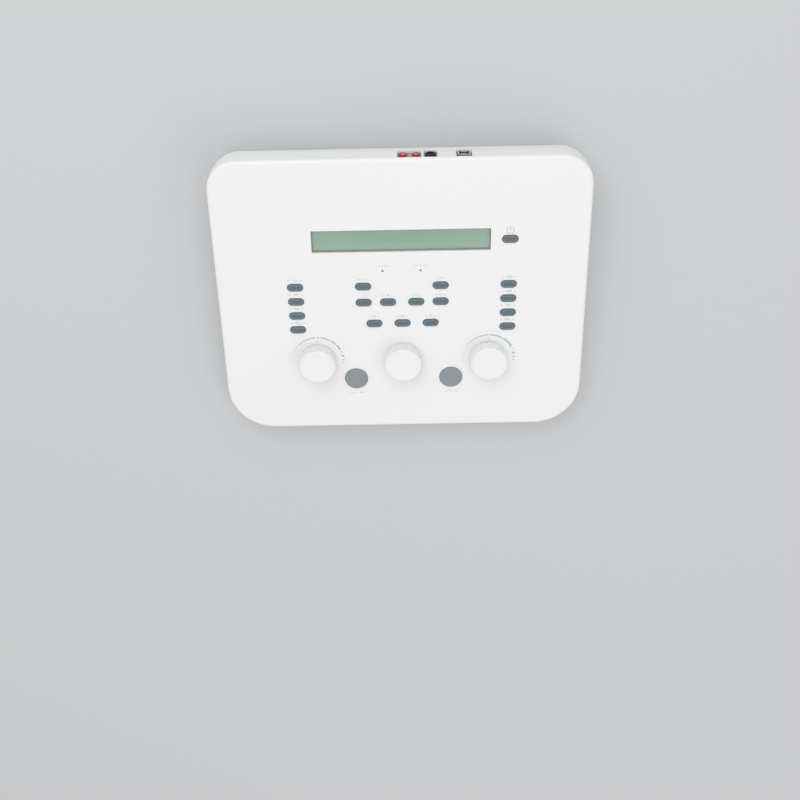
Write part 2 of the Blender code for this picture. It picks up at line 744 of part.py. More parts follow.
def make_round_keys(frame):
    """Two flat round keys with the same flange and stem."""
    radius = ROUND_KEY_DIAMETER / 2
    widths = (
        (KEY_STEM_WIDTH, KEY_STEM_FOOT),
        (KEY_STEM_WIDTH, KEY_FLANGE_FOOT),
        (radius + KEY_FLANGE, KEY_FLANGE_FOOT),
        (radius + KEY_FLANGE, KEY_FLANGE_TOP),
        (radius, KEY_FLANGE_TOP),
        (radius, ROUND_KEY_RISE - ROUND_KEY_BEVEL),
        (radius - ROUND_KEY_BEVEL, ROUND_KEY_RISE),
    )
    levels = [(circle_loop(width, ROUND_KEY_STEPS), z) for width, z in widths]
    for name, x, y in round_key_places():
        bm = bmesh.new()
        loft(bm, levels)
        put_object(name, bm, "slate_round_key", frame, (x, y, 0.0))


def dial_hollow(side, frame, x, y):
    """The space under a dial, left by its outer wall and its hub, with the hub's bore."""
    foot = DIAL_FLOAT - OVERRUN
    roof = DIAL_HEIGHT - DIAL_TOP_WALL
    inner = DIAL_DIAMETER / 2 - FLUTE_DEPTH - DIAL_WALL
    hub = DIAL_HUB_DIAMETER / 2
    steps = 2 * SHAFT_STEPS
    bore = flat_circle_loop(SHAFT_DIAMETER / 2 + GAP, SHAFT_FLAT, steps)
    levels = [
        (circle_loop(inner, steps), foot),
        (circle_loop(inner, steps), roof),
        (circle_loop(hub, steps), roof),
        (circle_loop(hub, steps), DIAL_HUB_LIFT),
        (bore, DIAL_HUB_LIFT),
        (bore, roof),
    ]
    bm = bmesh.new()
    loft(bm, levels, (x, y))
    return put_tool(f"dial_hollow_{side}", bm, frame)


def make_dials(frame):
    """Fluted dials with a smooth shoulder, a raised rim and a slightly sunk top."""
    radius = DIAL_DIAMETER / 2
    count = 2 * FLUTE_COUNT
    shoulder = radius - FLUTE_DEPTH - DIAL_SHOULDER
    levels = [
        (fluted_loop(radius, FLUTE_DEPTH, FLUTE_COUNT), DIAL_FLOAT),
        (fluted_loop(radius - DIAL_TAPER, FLUTE_DEPTH, FLUTE_COUNT), DIAL_HEIGHT - DIAL_SHOULDER),
        (circle_loop(shoulder, count), DIAL_HEIGHT),
        (circle_loop(shoulder - DIAL_RIM, count), DIAL_HEIGHT),
        (circle_loop(shoulder - DIAL_RIM - DIAL_DISH, count), DIAL_HEIGHT - DIAL_DISH),
    ]
    for side, x, y in dial_places():
        bm = bmesh.new()
        loft(bm, levels)
        dial = put_object(f"dial_{side}", bm, "white_dial", frame, (x, y, 0.0))
        combine(dial, dial_hollow(side, frame, x, y), "DIFFERENCE")


def make_dial_shafts(frame):
    """A flat-sided metal shaft in each dial's hub, running down into the encoder."""
    loop = flat_circle_loop(SHAFT_DIAMETER / 2, SHAFT_FLAT, SHAFT_STEPS)
    foot = CONTROL_BOARD_TOP + SHAFT_FOOT_GAP
    tip = DIAL_HEIGHT - DIAL_TOP_WALL - SHAFT_TIP_GAP
    for side, x, y in dial_places():
        bm = bmesh.new()
        add_prism(bm, loop, foot, tip)
        put_object(f"dial_shaft_{side}", bm, "bright_metal", frame, (x, y, 0.0))


def make_encoders(frame):
    """Rotary encoders: a square case on the board and a bushing up through the face."""
    half = ENCODER_SIDE / 2
    square = soft_rectangle(ENCODER_SIDE, ENCODER_SIDE, half - BUSHING_DIAMETER / 2, SHAFT_STEPS // 4 - 1)
    bushing = circle_loop(BUSHING_DIAMETER / 2, SHAFT_STEPS)
    bore = circle_loop(SHAFT_DIAMETER / 2 + GAP, SHAFT_STEPS)
    case_top = -WALL - ENCODER_CLEARANCE
    floor = CONTROL_BOARD_TOP + SHAFT_FOOT_GAP - GAP
    turned = bushing[-1:] + bushing[:-1]
    turned_bore = bore[-1:] + bore[:-1]
    levels = [
        (square, CONTROL_BOARD_TOP + GAP),
        (square, case_top),
        (turned, case_top),
        (turned, BUSHING_RISE),
        (turned_bore, BUSHING_RISE),
        (turned_bore, floor),
    ]
    for side, x, y in dial_places():
        bm = bmesh.new()
        loft(bm, levels)
        put_object(f"encoder_{side}", bm, "bright_metal", frame, (x, y, 0.0))


def make_lamps(frame):
    """Two small lamps on the control board, with domed lenses in the face."""
    radius = LAMP_DIAMETER / 2
    levels = [
        (circle_loop(radius + LAMP_FOOT, LAMP_STEPS), CONTROL_BOARD_TOP + GAP),
        (circle_loop(radius + LAMP_FOOT, LAMP_STEPS), CONTROL_BOARD_TOP + GAP + LAMP_FOOT),
        (circle_loop(radius, LAMP_STEPS), CONTROL_BOARD_TOP + GAP + LAMP_FOOT),
        (circle_loop(radius, LAMP_STEPS), 0.0),
        (circle_loop(radius / 2, LAMP_STEPS), LAMP_RISE),
    ]
    for name, x, y in lamp_places():
        bm = bmesh.new()
        loft(bm, levels)
        put_object(name, bm, "lamp_lens", frame, (x, y, 0.0))


def make_display(frame):
    """Window glass, black bezel, display panel and the board behind it."""
    at = (0.0, WINDOW_Y, 0.0)
    glass = bmesh.new()
    glass_loop = soft_rectangle(WINDOW_WIDTH - 2 * GAP, WINDOW_HEIGHT - 2 * GAP, WINDOW_CORNER)
    add_prism(glass, glass_loop, -WALL, GLASS_THICKNESS - WALL)
    put_object("display_glass", glass, "clear_glass", frame, at)

    outer = soft_rectangle(WINDOW_WIDTH + 2 * BEZEL_LAP, WINDOW_HEIGHT + 2 * BEZEL_LAP, WINDOW_CORNER)
    inner = soft_rectangle(WINDOW_WIDTH - 2 * BEZEL_BORDER, WINDOW_HEIGHT - 2 * BEZEL_BORDER, WINDOW_CORNER)
    bezel = bmesh.new()
    add_prism(bezel, outer, BEZEL_TOP - BEZEL_THICKNESS, BEZEL_TOP)
    frame_piece = put_object("display_bezel", bezel, "black_plastic", frame, at)
    opening = bmesh.new()
    low, high = BEZEL_TOP - BEZEL_THICKNESS - OVERRUN, BEZEL_TOP + OVERRUN
    add_prism(opening, inner, low, high, (0.0, WINDOW_Y))
    combine(frame_piece, put_tool("bezel_opening", opening, frame), "DIFFERENCE")

    panel = bmesh.new()
    panel_loop = soft_rectangle(WINDOW_WIDTH + PANEL_MARGIN, WINDOW_HEIGHT + 2 * PANEL_MARGIN, WINDOW_CORNER)
    add_prism(panel, panel_loop, PANEL_TOP - PANEL_THICKNESS, PANEL_TOP)
    put_object("display_panel", panel, "display_green", frame, at)

    board = bmesh.new()
    board_loop = soft_rectangle(2 * DISPLAY_BOARD_HALF_X, 2 * DISPLAY_BOARD_HALF_Y, WINDOW_CORNER)
    add_prism(board, board_loop, DISPLAY_BOARD_TOP - BOARD_THICKNESS, DISPLAY_BOARD_TOP)
    board_piece = put_object("display_board", board, "board_green", frame, at)
    board_foot = DISPLAY_BOARD_TOP - BOARD_THICKNESS
    screws = board_screws("display_screws", display_post_places(), board_foot, True, frame)
    combine(board_piece, screws, "UNION")


def board_screws(name, places, seat, up, frame):
    """Screws made in one with the board that they hold: heads on seat, shanks up or down."""
    way = 1 if up else -1
    head = circle_loop(SCREW_HEAD_DIAMETER / 2, SCREW_STEPS)
    shank = circle_loop(SCREW_DIAMETER / 2, SCREW_STEPS)
    under = seat + way * BOARD_THICKNESS / 2
    levels = [
        (head, seat - way * SCREW_HEAD_HEIGHT),
        (head, under),
        (shank, under),
        (shank, seat + way * SCREW_LENGTH),
    ]
    bm = bmesh.new()
    for place in places:
        loft(bm, levels if up else list(reversed(levels)), place)
    return put_tool(name, bm, frame)


def key_switches(frame):
    """One small square switch under each key, soldered to the control board."""
    half = SWITCH_SIDE / 2
    tip = SWITCH_PLUNGER_SIDE / 2
    root = CONTROL_BOARD_TOP - BOARD_THICKNESS / 2
    shoulder = CONTROL_BOARD_TOP + SWITCH_BODY_HEIGHT
    body = [(-half, -half), (half, -half), (half, half), (-half, half)]
    plunger = [(-tip, -tip), (tip, -tip), (tip, tip), (-tip, tip)]
    bm = bmesh.new()
    for _, x, y in key_places() + round_key_places():
        loft(bm, [(body, root), (body, shoulder), (plunger, shoulder), (plunger, SWITCH_TOP)], (x, y))
    return put_tool("key_switches", bm, frame)


def make_control_board(frame):
    """The board under the keys with its switches, and a lobe that reaches the power key."""
    outline = [
        (-BOARD_HALF_X, BOARD_FRONT),
        (BOARD_HALF_X, BOARD_FRONT),
        (BOARD_HALF_X, BOARD_LOBE_REAR),
        (BOARD_LOBE_LEFT, BOARD_LOBE_REAR),
        (BOARD_LOBE_LEFT, BOARD_REAR),
        (-BOARD_HALF_X, BOARD_REAR),
    ]
    foot = CONTROL_BOARD_TOP - BOARD_THICKNESS
    bm = bmesh.new()
    add_prism(bm, outline, foot, CONTROL_BOARD_TOP)
    board = put_object("control_board", bm, "board_green", frame)
    header = bmesh.new()
    rear = BOARD_REAR - HEADER_EDGE
    low = (RIBBON_X - HEADER_WIDTH / 2, rear - HEADER_DEPTH, foot - HEADER_HEIGHT)
    add_block(header, low, (RIBBON_X + HEADER_WIDTH / 2, rear, foot + BOARD_THICKNESS / 2))
    combine(board, put_tool("control_header", header, frame), "UNION")
    combine(board, key_switches(frame), "UNION")
    combine(board, board_screws("control_screws", control_post_places(), foot, True, frame), "UNION")


def make_cover_screws(frame):
    """Four long screws up through the tub's columns into the bosses of the top cover."""
    head = circle_loop(COVER_SCREW_HEAD_DIAMETER / 2, SHAFT_STEPS)
    shank = circle_loop(COVER_SCREW_DIAMETER / 2, SHAFT_STEPS)
    under = -SKIRT_DEPTH - GAP - COVER_SCREW_SEAT - GAP
    levels = [
        (head, under - COVER_SCREW_HEAD_HEIGHT),
        (head, under),
        (shank, under),
        (shank, under + COVER_SCREW_LENGTH),
    ]
    for name, x, y in cover_screw_places():
        bm = bmesh.new()
        loft(bm, levels)
        put_object(name, bm, "bright_metal", frame, (x, y, 0.0))


def socket_matrix(x):
    """Turn a socket that is built along +z so that it looks out of the rear wall."""
    return (x, 0.0, -SOCKET_DROP), (-pi / 2, 0.0, 0.0)


def make_socket_panel(frame):
    """The dark plate behind the openings in the rear wall, with a hole for each socket."""
    bm = bmesh.new()
    low = (SOCKET_BAY_LEFT_X - SOCKET_PANEL_LAP, SOCKET_PANEL_BACK, -SOCKET_BAY_SILL - SOCKET_PANEL_LAP)
    top = SOCKET_PANEL_LAP / 2 - SOCKET_BAY_TOP
    add_block(bm, low, (SOCKET_BAY_RIGHT_X + SOCKET_PANEL_LAP, SOCKET_PANEL_FRONT, top))
    plate = put_object("connector_panel", bm, "black_plastic", frame)
    holes = bmesh.new()
    jack = circle_loop(JACK_NOSE_DIAMETER / 2 + GAP, SHAFT_STEPS)
    usb = soft_rectangle(USB_WIDTH + 2 * GAP, USB_HEIGHT + 2 * GAP, USB_CORNER)
    inlet = circle_loop(INLET_DIAMETER / 2 + GAP, INLET_STEPS)
    shapes = [(jack, JACK_LEFT_X), (jack, JACK_RIGHT_X), (usb, USB_X), (inlet, INLET_X)]
    for loop, x in shapes:
        rows = []
        for y in (SOCKET_PANEL_FRONT + OVERRUN, SOCKET_PANEL_BACK - OVERRUN):
            rows.append([(x + px, y, pz - SOCKET_DROP) for px, pz in loop])
        skin_rows(holes, rows)
    combine(plate, put_tool("socket_holes", holes, frame), "DIFFERENCE")


def make_jacks(frame):
    """The two headset sockets: a square body behind the plate and a red nose through it."""
    body = soft_rectangle(JACK_BODY_SIDE, JACK_BODY_SIDE, JACK_CORNER)
    nose = circle_loop(JACK_NOSE_DIAMETER / 2, SHAFT_STEPS)
    bore = circle_loop(JACK_BORE_DIAMETER / 2, SHAFT_STEPS)
    levels = [
        (body, SOCKET_BODY_FRONT - JACK_BODY_DEPTH),
        (body, SOCKET_BODY_FRONT),
        (nose[-2:] + nose[:-2], SOCKET_BODY_FRONT),
        (nose[-2:] + nose[:-2], SOCKET_TIP),
        (bore[-2:] + bore[:-2], SOCKET_TIP),
        (bore[-2:] + bore[:-2], SOCKET_TIP - JACK_BORE_DEPTH),
    ]
    for name, x in (("jack_left", JACK_LEFT_X), ("jack_right", JACK_RIGHT_X)):
        bm = bmesh.new()
        loft(bm, levels)
        place, turn = socket_matrix(x)
        put_object(name, bm, "red_plastic", frame, place, turn)


def make_usb_socket(frame):
    """A square data socket: a metal shell with the contact tongue inside."""
    bm = bmesh.new()
    hollow_width = USB_WIDTH - 2 * USB_WALL
    hollow_height = USB_HEIGHT - 2 * USB_WALL
    shell = soft_rectangle(USB_WIDTH, USB_HEIGHT, USB_CORNER)
    hollow = soft_rectangle(hollow_width, hollow_height, USB_CORNER - USB_WALL / 2)
    tongue = soft_rectangle(USB_TONGUE_WIDTH, USB_TONGUE_HEIGHT, USB_WALL / 4)
    floor = SOCKET_TIP - USB_BORE_DEPTH
    levels = [
        (shell, SOCKET_TIP - USB_DEPTH),
        (shell, SOCKET_TIP),
        (hollow, SOCKET_TIP),
        (hollow, floor),
        (tongue, floor),
        (tongue, SOCKET_TIP - USB_WALL),
    ]
    loft(bm, levels)
    place, turn = socket_matrix(USB_X)
    put_object("usb_socket", bm, "bright_metal", frame, place, turn)


def make_power_inlet(frame):
    """A round supply inlet with its centre pin."""
    bm = bmesh.new()
    floor = SOCKET_TIP - INLET_BORE_DEPTH
    widths = (
        (INLET_DIAMETER, SOCKET_TIP - USB_DEPTH),
        (INLET_DIAMETER, SOCKET_TIP),
        (INLET_BORE_DIAMETER, SOCKET_TIP),
        (INLET_BORE_DIAMETER, floor),
        (INLET_PIN_DIAMETER, floor),
        (INLET_PIN_DIAMETER, SOCKET_TIP - USB_WALL),
    )
    loft(bm, [(circle_loop(width / 2, INLET_STEPS), z) for width, z in widths])
    place, turn = socket_matrix(INLET_X)
    put_object("power_inlet", bm, "black_plastic", frame, place, turn)


def make_main_board(frame):
    """The board that carries the sockets, with the ribbon's header at its front."""
    foot = MAIN_BOARD_TOP - BOARD_THICKNESS
    bm = bmesh.new()
    corner = (MAIN_BOARD_RIGHT, MAIN_BOARD_REAR, MAIN_BOARD_TOP)
    add_block(bm, (MAIN_BOARD_LEFT, MAIN_BOARD_FRONT, foot), corner)
    board = put_object("main_board", bm, "board_green", frame)
    header = bmesh.new()
    front = MAIN_BOARD_FRONT + HEADER_EDGE
    high = (RIBBON_X + HEADER_WIDTH / 2, front + HEADER_DEPTH, MAIN_BOARD_TOP + HEADER_HEIGHT)
    add_block(header, (RIBBON_X - HEADER_WIDTH / 2, front, foot + BOARD_THICKNESS / 2), high)
    combine(board, put_tool("main_header", header, frame), "UNION")
    combine(board, board_screws("main_screws", main_post_places(), MAIN_BOARD_TOP, False, frame), "UNION")


def make_ribbon_cable(frame):
    """The flat ribbon between the two headers, hanging in a shallow curve."""
    start_y = BOARD_REAR - HEADER_EDGE + GAP
    end_y = MAIN_BOARD_FRONT + HEADER_EDGE - GAP
    start_z = CONTROL_BOARD_TOP - BOARD_THICKNESS - HEADER_HEIGHT / 2
    end_z = MAIN_BOARD_TOP + HEADER_HEIGHT / 2
    rows = []
    for i in range(RIBBON_STEPS + 1):
        share = i / RIBBON_STEPS
        y = start_y + (end_y - start_y) * share
        z = start_z + (end_z - start_z) * share - RIBBON_SAG * sin(pi * share)
        x0, x1 = RIBBON_X - RIBBON_WIDTH / 2, RIBBON_X + RIBBON_WIDTH / 2
        low, high = z - RIBBON_THICKNESS / 2, z + RIBBON_THICKNESS / 2
        rows.append([(x0, y, low), (x0, y, high), (x1, y, high), (x1, y, low)])
    bm = bmesh.new()
    skin_rows(bm, rows)
    put_object("ribbon_cable", bm, "ribbon_grey", frame)


def main():
    """Build the console, from its covers to its feet."""
    clear_scene()
    frame = bpy.data.objects.new("face_frame", None)
    frame.matrix_world = FACE_MATRIX
    bpy.context.scene.collection.objects.link(frame)
    make_top_cover(frame)
    make_bottom_cover(frame)
    make_feet()
    make_keys(frame)
    make_round_keys(frame)
    make_dials(frame)
    make_dial_shafts(frame)
    make_encoders(frame)
    make_lamps(frame)
    make_display(frame)
    make_control_board(frame)
    make_cover_screws(frame)
    make_socket_panel(frame)
    make_jacks(frame)
    make_usb_socket(frame)
    make_power_inlet(frame)
    make_main_board(frame)
    make_ribbon_cable(frame)
    bpy.context.view_layer.update()


main()
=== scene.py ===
"""Looks of a desktop audiometer: a white wedge-shaped console with a display, slate keys and ribbed dials.

The script follows the console as it is put together, with sizes in metres. Most pieces are shaped in the
panel's own frame, x along the width, y up the slope and z out of the face, and are then set on the panel.
"""
import json
from math import atan2, cos, pi, radians, sin, tau

import bmesh
import bpy
from mathutils import Matrix, Vector


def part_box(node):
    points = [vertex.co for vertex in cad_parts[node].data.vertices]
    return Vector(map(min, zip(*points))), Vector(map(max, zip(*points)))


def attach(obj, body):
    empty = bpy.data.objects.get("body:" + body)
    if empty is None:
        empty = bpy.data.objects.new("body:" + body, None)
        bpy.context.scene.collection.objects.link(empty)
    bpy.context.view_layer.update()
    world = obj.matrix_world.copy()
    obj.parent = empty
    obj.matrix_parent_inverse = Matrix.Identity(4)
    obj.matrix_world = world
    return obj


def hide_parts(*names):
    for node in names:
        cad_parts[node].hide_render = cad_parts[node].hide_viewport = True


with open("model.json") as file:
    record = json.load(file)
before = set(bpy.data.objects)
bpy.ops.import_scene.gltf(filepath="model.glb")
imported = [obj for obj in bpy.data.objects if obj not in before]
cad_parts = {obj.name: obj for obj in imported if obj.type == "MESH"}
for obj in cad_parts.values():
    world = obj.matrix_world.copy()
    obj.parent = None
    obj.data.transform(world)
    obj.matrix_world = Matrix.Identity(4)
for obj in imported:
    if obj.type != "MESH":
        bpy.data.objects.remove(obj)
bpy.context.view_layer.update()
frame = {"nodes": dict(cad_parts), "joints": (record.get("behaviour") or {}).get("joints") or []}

# Camera: it stands behind the console and looks down at the panel, which fills the middle
# of the picture with its rear edge at the top. Places are measured on the panel.
joints = {joint["name"]: joint for joint in frame["joints"]}
dial_joint = joints["center_dial_turn"]
dial_y = -0.0658
panel_out = Vector(dial_joint["axis"])
panel_up = Vector((0.0, panel_out.z, -panel_out.y))
panel_middle = Vector(dial_joint["pos_m"]) - panel_up * dial_y
panel_turn = Matrix((Vector((1, 0, 0)), panel_up, panel_out)).transposed()
panel = Matrix.Translation(panel_middle) @ panel_turn.to_4x4()
camera_place = panel @ Vector((0.00511, 0.53710, 1.04901))
camera_aim = panel @ Vector((-0.00428, -0.11574, 0.0))
camera_roll = radians(-0.993)
camera_sensor = 36.0
camera_lens = 53.28
nearest_seen = 0.01

back = (camera_place - camera_aim).normalized()
level = Vector((1, 0, 0))
level = (level - back * level.dot(back)).normalized()
right = Matrix.Rotation(camera_roll, 3, back) @ level
bpy.ops.object.select_all(action="DESELECT")
bpy.ops.object.camera_add()
camera = bpy.context.object
camera.name = "camera"
camera.data.sensor_width = camera_sensor
camera.data.lens = camera_lens
camera.data.clip_start = nearest_seen
turned = Matrix((right, back.cross(right), back)).transposed().to_4x4()
camera.matrix_world = Matrix.Translation(camera_place) @ turned
bpy.context.scene.camera = camera


# Floor: a plain pale sheet of paper under the console. A pale room lights it, with one large
# soft lamp behind the console on the left and a second before it on the right.
floor_size = 8.0
floor_colour = (0.60, 0.61, 0.62)
floor_roughness = 0.85
room_light = 0.76
key_lamp = {"place": Vector((-0.35, 1.20, 1.45)), "size": 1.6, "power": 11.0}
fill_lamp = {"place": Vector((0.9, -0.8, 1.7)), "size": 1.7, "power": 5.0}


# Finishes are node trees on a principled shader. Signal stands for one value in a tree,
# and sums on it add Math nodes; every other node comes from Paint.node.
class Signal:
    """One output of a node, with arithmetic."""

    def __init__(self, paint, socket):
        self.paint = paint
        self.socket = socket

    def sum(self, operation, first, second):
        return self.paint.node("ShaderNodeMath", {"operation": operation}, {0: first, 1: second})

    def __add__(self, other):
        return self.sum("ADD", self, other)

    def __sub__(self, other):
        return self.sum("SUBTRACT", self, other)

    def __rsub__(self, other):
        return self.sum("SUBTRACT", other, self)

    def __mul__(self, other):
        return self.sum("MULTIPLY", self, other)

    def above(self, limit):
        return self.sum("GREATER_THAN", self, limit)

    def wrapped(self, period):
        return self.paint.node("ShaderNodeMath", {"operation": "WRAP"}, {0: self, 1: period, 2: 0.0})

    def distance(self, middle):
        return self.paint.node("ShaderNodeMath", {"operation": "ABSOLUTE"}, {0: self - middle})

    __radd__ = __add__
    __rmul__ = __mul__


class Paint:
    """A material with a principled shader and the nodes that drive it."""

    def __init__(self, name, colour, roughness, **plain):
        self.material = bpy.data.materials.new(name)
        self.material.use_nodes = True
        self.material.diffuse_color = (*colour, 1.0)
        self.tree = self.material.node_tree
        self.shader = self.tree.nodes["Principled BSDF"]
        self.shader.inputs["Base Color"].default_value = (*colour, 1.0)
        self.shader.inputs["Roughness"].default_value = roughness
        for socket, value in plain.items():
            self.shader.inputs[socket.replace("_", " ")].default_value = value

    def node(self, kind, settings=None, inputs=None, output=0):
        made = self.tree.nodes.new(kind)
        for key, value in (settings or {}).items():
            if key == "stops":
                ramp = made.color_ramp.elements
                while len(ramp) < len(value):
                    ramp.new(1.0)
                for stop, (place, shade) in zip(ramp, value):
                    stop.position = place
                    stop.color = (*shade, 1.0)
            else:
                setattr(made, key, value)
        for key, value in (inputs or {}).items():
            if isinstance(value, Signal):
                self.tree.links.new(value.socket, made.inputs[key])
            else:
                made.inputs[key].default_value = value
        return Signal(self, made.outputs[output])

    def place(self):
        return self.node("ShaderNodeTexCoord", output="Object")

    def noise(self, scale, detail=2.0, vector=None):
        inputs = {"Vector": vector or self.place(), "Scale": scale, "Detail": detail}
        return self.node("ShaderNodeTexNoise", None, inputs, "Fac")

    def mix(self, share, first, second):
        """A blend of two colours, which a Mix node takes at sockets 6 and 7 and gives at 2."""
        inputs = {0: share, 6: first, 7: second}
        return self.node("ShaderNodeMix", {"data_type": "RGBA"}, inputs, 2)

    def feed(self, socket, signal):
        self.tree.links.new(signal.socket, self.shader.inputs[socket])

    def bump(self, height, distance):
        inputs = {"Distance": distance, "Height": height}
        self.feed("Normal", self.node("ShaderNodeBump", None, inputs))


bpy.ops.object.select_all(action="DESELECT")
bpy.ops.mesh.primitive_plane_add(size=floor_size, location=(0.0, 0.0, 0.0))
floor = bpy.context.object
floor.name = "floor"
floor_paint = Paint("floor_paper", floor_colour, floor_roughness)
floor.data.materials.append(floor_paint.material)

for lamp_name, lamp in (("key_lamp", key_lamp), ("fill_lamp", fill_lamp)):
    bpy.ops.object.light_add(type="AREA", location=lamp["place"])
    light = bpy.context.object
    light.name = lamp_name
    light.data.size = lamp["size"]
    light.data.energy = lamp["power"]
    aim = panel_middle - lamp["place"]
    light.rotation_euler = aim.to_track_quat("-Z", "Y").to_euler()

world = bpy.data.worlds.new("pale_room")
world.use_nodes = True
bpy.context.scene.world = world
room = world.node_tree
sky = room.nodes["Background"]
sky.inputs["Color"].default_value = (1.0, 1.0, 1.0, 1.0)
rays = room.nodes.new("ShaderNodeLightPath")
seen = rays.outputs["Is Camera Ray"]
for ray in ("Is Glossy Ray", "Is Transmission Ray"):
    either = room.nodes.new("ShaderNodeMath")
    either.operation = "MAXIMUM"
    room.links.new(seen, either.inputs[0])
    room.links.new(rays.outputs[ray], either.inputs[1])
    seen = either.outputs[0]
blend = room.nodes.new("ShaderNodeMapRange")
blend.inputs["To Min"].default_value = room_light
blend.inputs["To Max"].default_value = 1.0
room.links.new(seen, blend.inputs["Value"])
room.links.new(blend.outputs["Result"], sky.inputs["Strength"])
bpy.context.scene.view_settings.view_transform = "Standard"


# Top cover: one white injection-moulded tray. Its face is flat with a soft rounded edge, its
# skirt drops square to the face, and it is pierced for the window, keys, lamps and dials.
console_width = 0.365
console_depth = 0.295
rear_corner = 0.030
front_corner = 0.047
corner_segments = 18
edge_round = 0.0035
edge_steps = 8
wall = 0.0025
skirt = 0.015
gap = 0.0003
overrun = 0.004
fine_edge = 0.0002
near = 0.00002

slot_length = 0.0155
slot_width = 0.0079
round_key_radius = 0.0116
bushing_radius = 0.00425
lamp_radius = 0.0009
lamp_x, lamp_y = 0.01865, 0.0331
window_size = Vector((0.1733, 0.0230))
window_y = 0.0647
window_corner = 0.0010


def moulded(name, colour, roughness, grain=1400.0, depth=0.00003, shift=0.03, **plain):
    """Moulded plastic: a fine even grain, with its colour and gloss drifting very slightly."""
    paint = Paint(name, colour, roughness, **plain)
    drift = paint.noise(9.0)
    darker = tuple(max(0.0, part * (1 - shift)) for part in colour)
    paint.feed("Base Color", paint.mix(drift, (*darker, 1.0), (*colour, 1.0)))
    fine = paint.noise(grain, 3.0)
    paint.feed("Roughness", drift * 0.06 + fine * 0.06 + (roughness - 0.06))
    paint.bump(fine, depth)
    return paint.material


def begin(operator, name, **settings):
    """Add one primitive, alone in the selection, and open it for editing."""
    if bpy.context.mode != "OBJECT":
        bpy.ops.object.mode_set(mode="OBJECT")
    bpy.ops.object.select_all(action="DESELECT")
    operator(**settings)
    piece = bpy.context.object
    piece.name = name
    piece.data.name = name
    bpy.ops.object.mode_set(mode="EDIT")
    return piece


def pick(piece, kind, test):
    """Select, in edit mode, the points, edges or faces that pass a test."""
    bpy.ops.mesh.select_mode(type=kind)
    bpy.ops.mesh.select_all(action="DESELECT")
    shape = bmesh.from_edit_mesh(piece.data)
    shape.normal_update()
    kinds = {"VERT": shape.verts, "EDGE": shape.edges, "FACE": shape.faces}
    for element in kinds[kind]:
        if test(element):
            element.select_set(True)
    shape.select_flush_mode()
    bmesh.update_edit_mesh(piece.data)


def at_height(z):
    """A test for edges and faces that lie flat at one height."""
    return lambda element: all(abs(point.co.z - z) < near for point in element.verts)


def settle():
    """Fix the open shape's place and turn in its mesh."""
    bpy.ops.object.mode_set(mode="OBJECT")
    bpy.ops.object.transform_apply(location=True, rotation=True, scale=True)
    bpy.ops.object.mode_set(mode="EDIT")


def lift(height):
    """Extrude what is chosen along z."""
    bpy.ops.mesh.extrude_region_move(TRANSFORM_OT_translate={"value": (0.0, 0.0, height)})


def pick_all():
    """Select the whole of the open shape."""
    bpy.ops.mesh.select_all(action="SELECT")


def turn_outwards():
    """Point all the faces of the open shape outwards."""
    pick_all()
    bpy.ops.mesh.normals_make_consistent(inside=False)


def close(piece):
    """Leave edit mode, with this piece alone selected."""
    if bpy.context.mode != "OBJECT":
        bpy.ops.object.mode_set(mode="OBJECT")
    bpy.ops.object.select_all(action="DESELECT")
    piece.select_set(True)
    bpy.context.view_layer.objects.active = piece


def apply_modifier(piece, kind, **settings):
    """Add one modifier, set it and apply it."""
    close(piece)
    step = piece.modifiers.new(kind.lower(), kind)
    for key, value in settings.items():
        setattr(step, key, value)
    bpy.ops.object.modifier_apply(modifier=step.name)


def soften(piece, width):
    """Round the crisp edges of a piece a little."""
    apply_modifier(piece, "BEVEL", width=width, segments=2, limit_method="ANGLE", angle_limit=radians(50))


def slot_prism(name, length, width, low, high, points=48):
    """A block with half-round ends, centred on x and y."""
    half_step = pi / points
    piece = begin(
        bpy.ops.mesh.primitive_cylinder_add, name,
        vertices=points, radius=width / 2, depth=high - low,
        location=(0.0, 0.0, (high + low) / 2), rotation=(0.0, 0.0, half_step),
    )
    settle()
    for side in (-1, 1):
        pick(piece, "VERT", lambda point: point.co.x * side > 0)
        bpy.ops.transform.translate(value=(side * (length - width) / 2, 0.0, 0.0))
    close(piece)
    return piece


def round_prism(name, radius, low, high, points=64):
    """A plain round block, centred on x and y."""
    piece = begin(
        bpy.ops.mesh.primitive_cylinder_add, name,
        vertices=points, radius=radius, depth=high - low, location=(0.0, 0.0, (high + low) / 2),
    )
    settle()
    close(piece)
    return piece


def corner_plate(name, width, depth, rear_radius, front_radius, z, segments):
    """A flat face with four rounded corners, open for editing."""
    piece = begin(bpy.ops.mesh.primitive_plane_add, name, size=1.0, location=(0.0, 0.0, z))
    settle()
    bpy.ops.transform.resize(value=(width, depth, 1.0))
    for side, radius in ((1, rear_radius), (-1, front_radius)):
        pick(piece, "VERT", lambda point: point.co.y * side > 0)
        bpy.ops.mesh.bevel(offset=radius, segments=segments, affect="VERTICES", clamp_overlap=False)
    return piece


def corner_block(name, width, depth, radius, low, high, segments=6):
    """A block with four equal rounded corners."""
    piece = corner_plate(name, width, depth, radius, radius, low, segments)
    pick_all()
    lift(high - low)
    turn_outwards()
    close(piece)
    return piece


def copy_to(piece, name, place):
    """A copy of a shape with its own mesh, carried to a place."""
    copy = piece.copy()
    copy.data = piece.data.copy()
    copy.name = name
    copy.data.name = name
    copy.data.transform(place)
    bpy.context.collection.objects.link(copy)
    return copy


def join(pieces, name):
    """Join several shapes into one named piece."""
    close(pieces[0])
    for piece in pieces:
        piece.select_set(True)
    bpy.ops.object.join()
    pieces[0].name = name
    pieces[0].data.name = name
    return pieces[0]


def place_copies(piece, places):
    """Copy a shape to each place on the panel, join the copies and drop the first."""
    copies = [copy_to(piece, "copy", Matrix.Translation(place)) for place in places]
    bpy.data.objects.remove(piece)
    return join(copies, "copies")


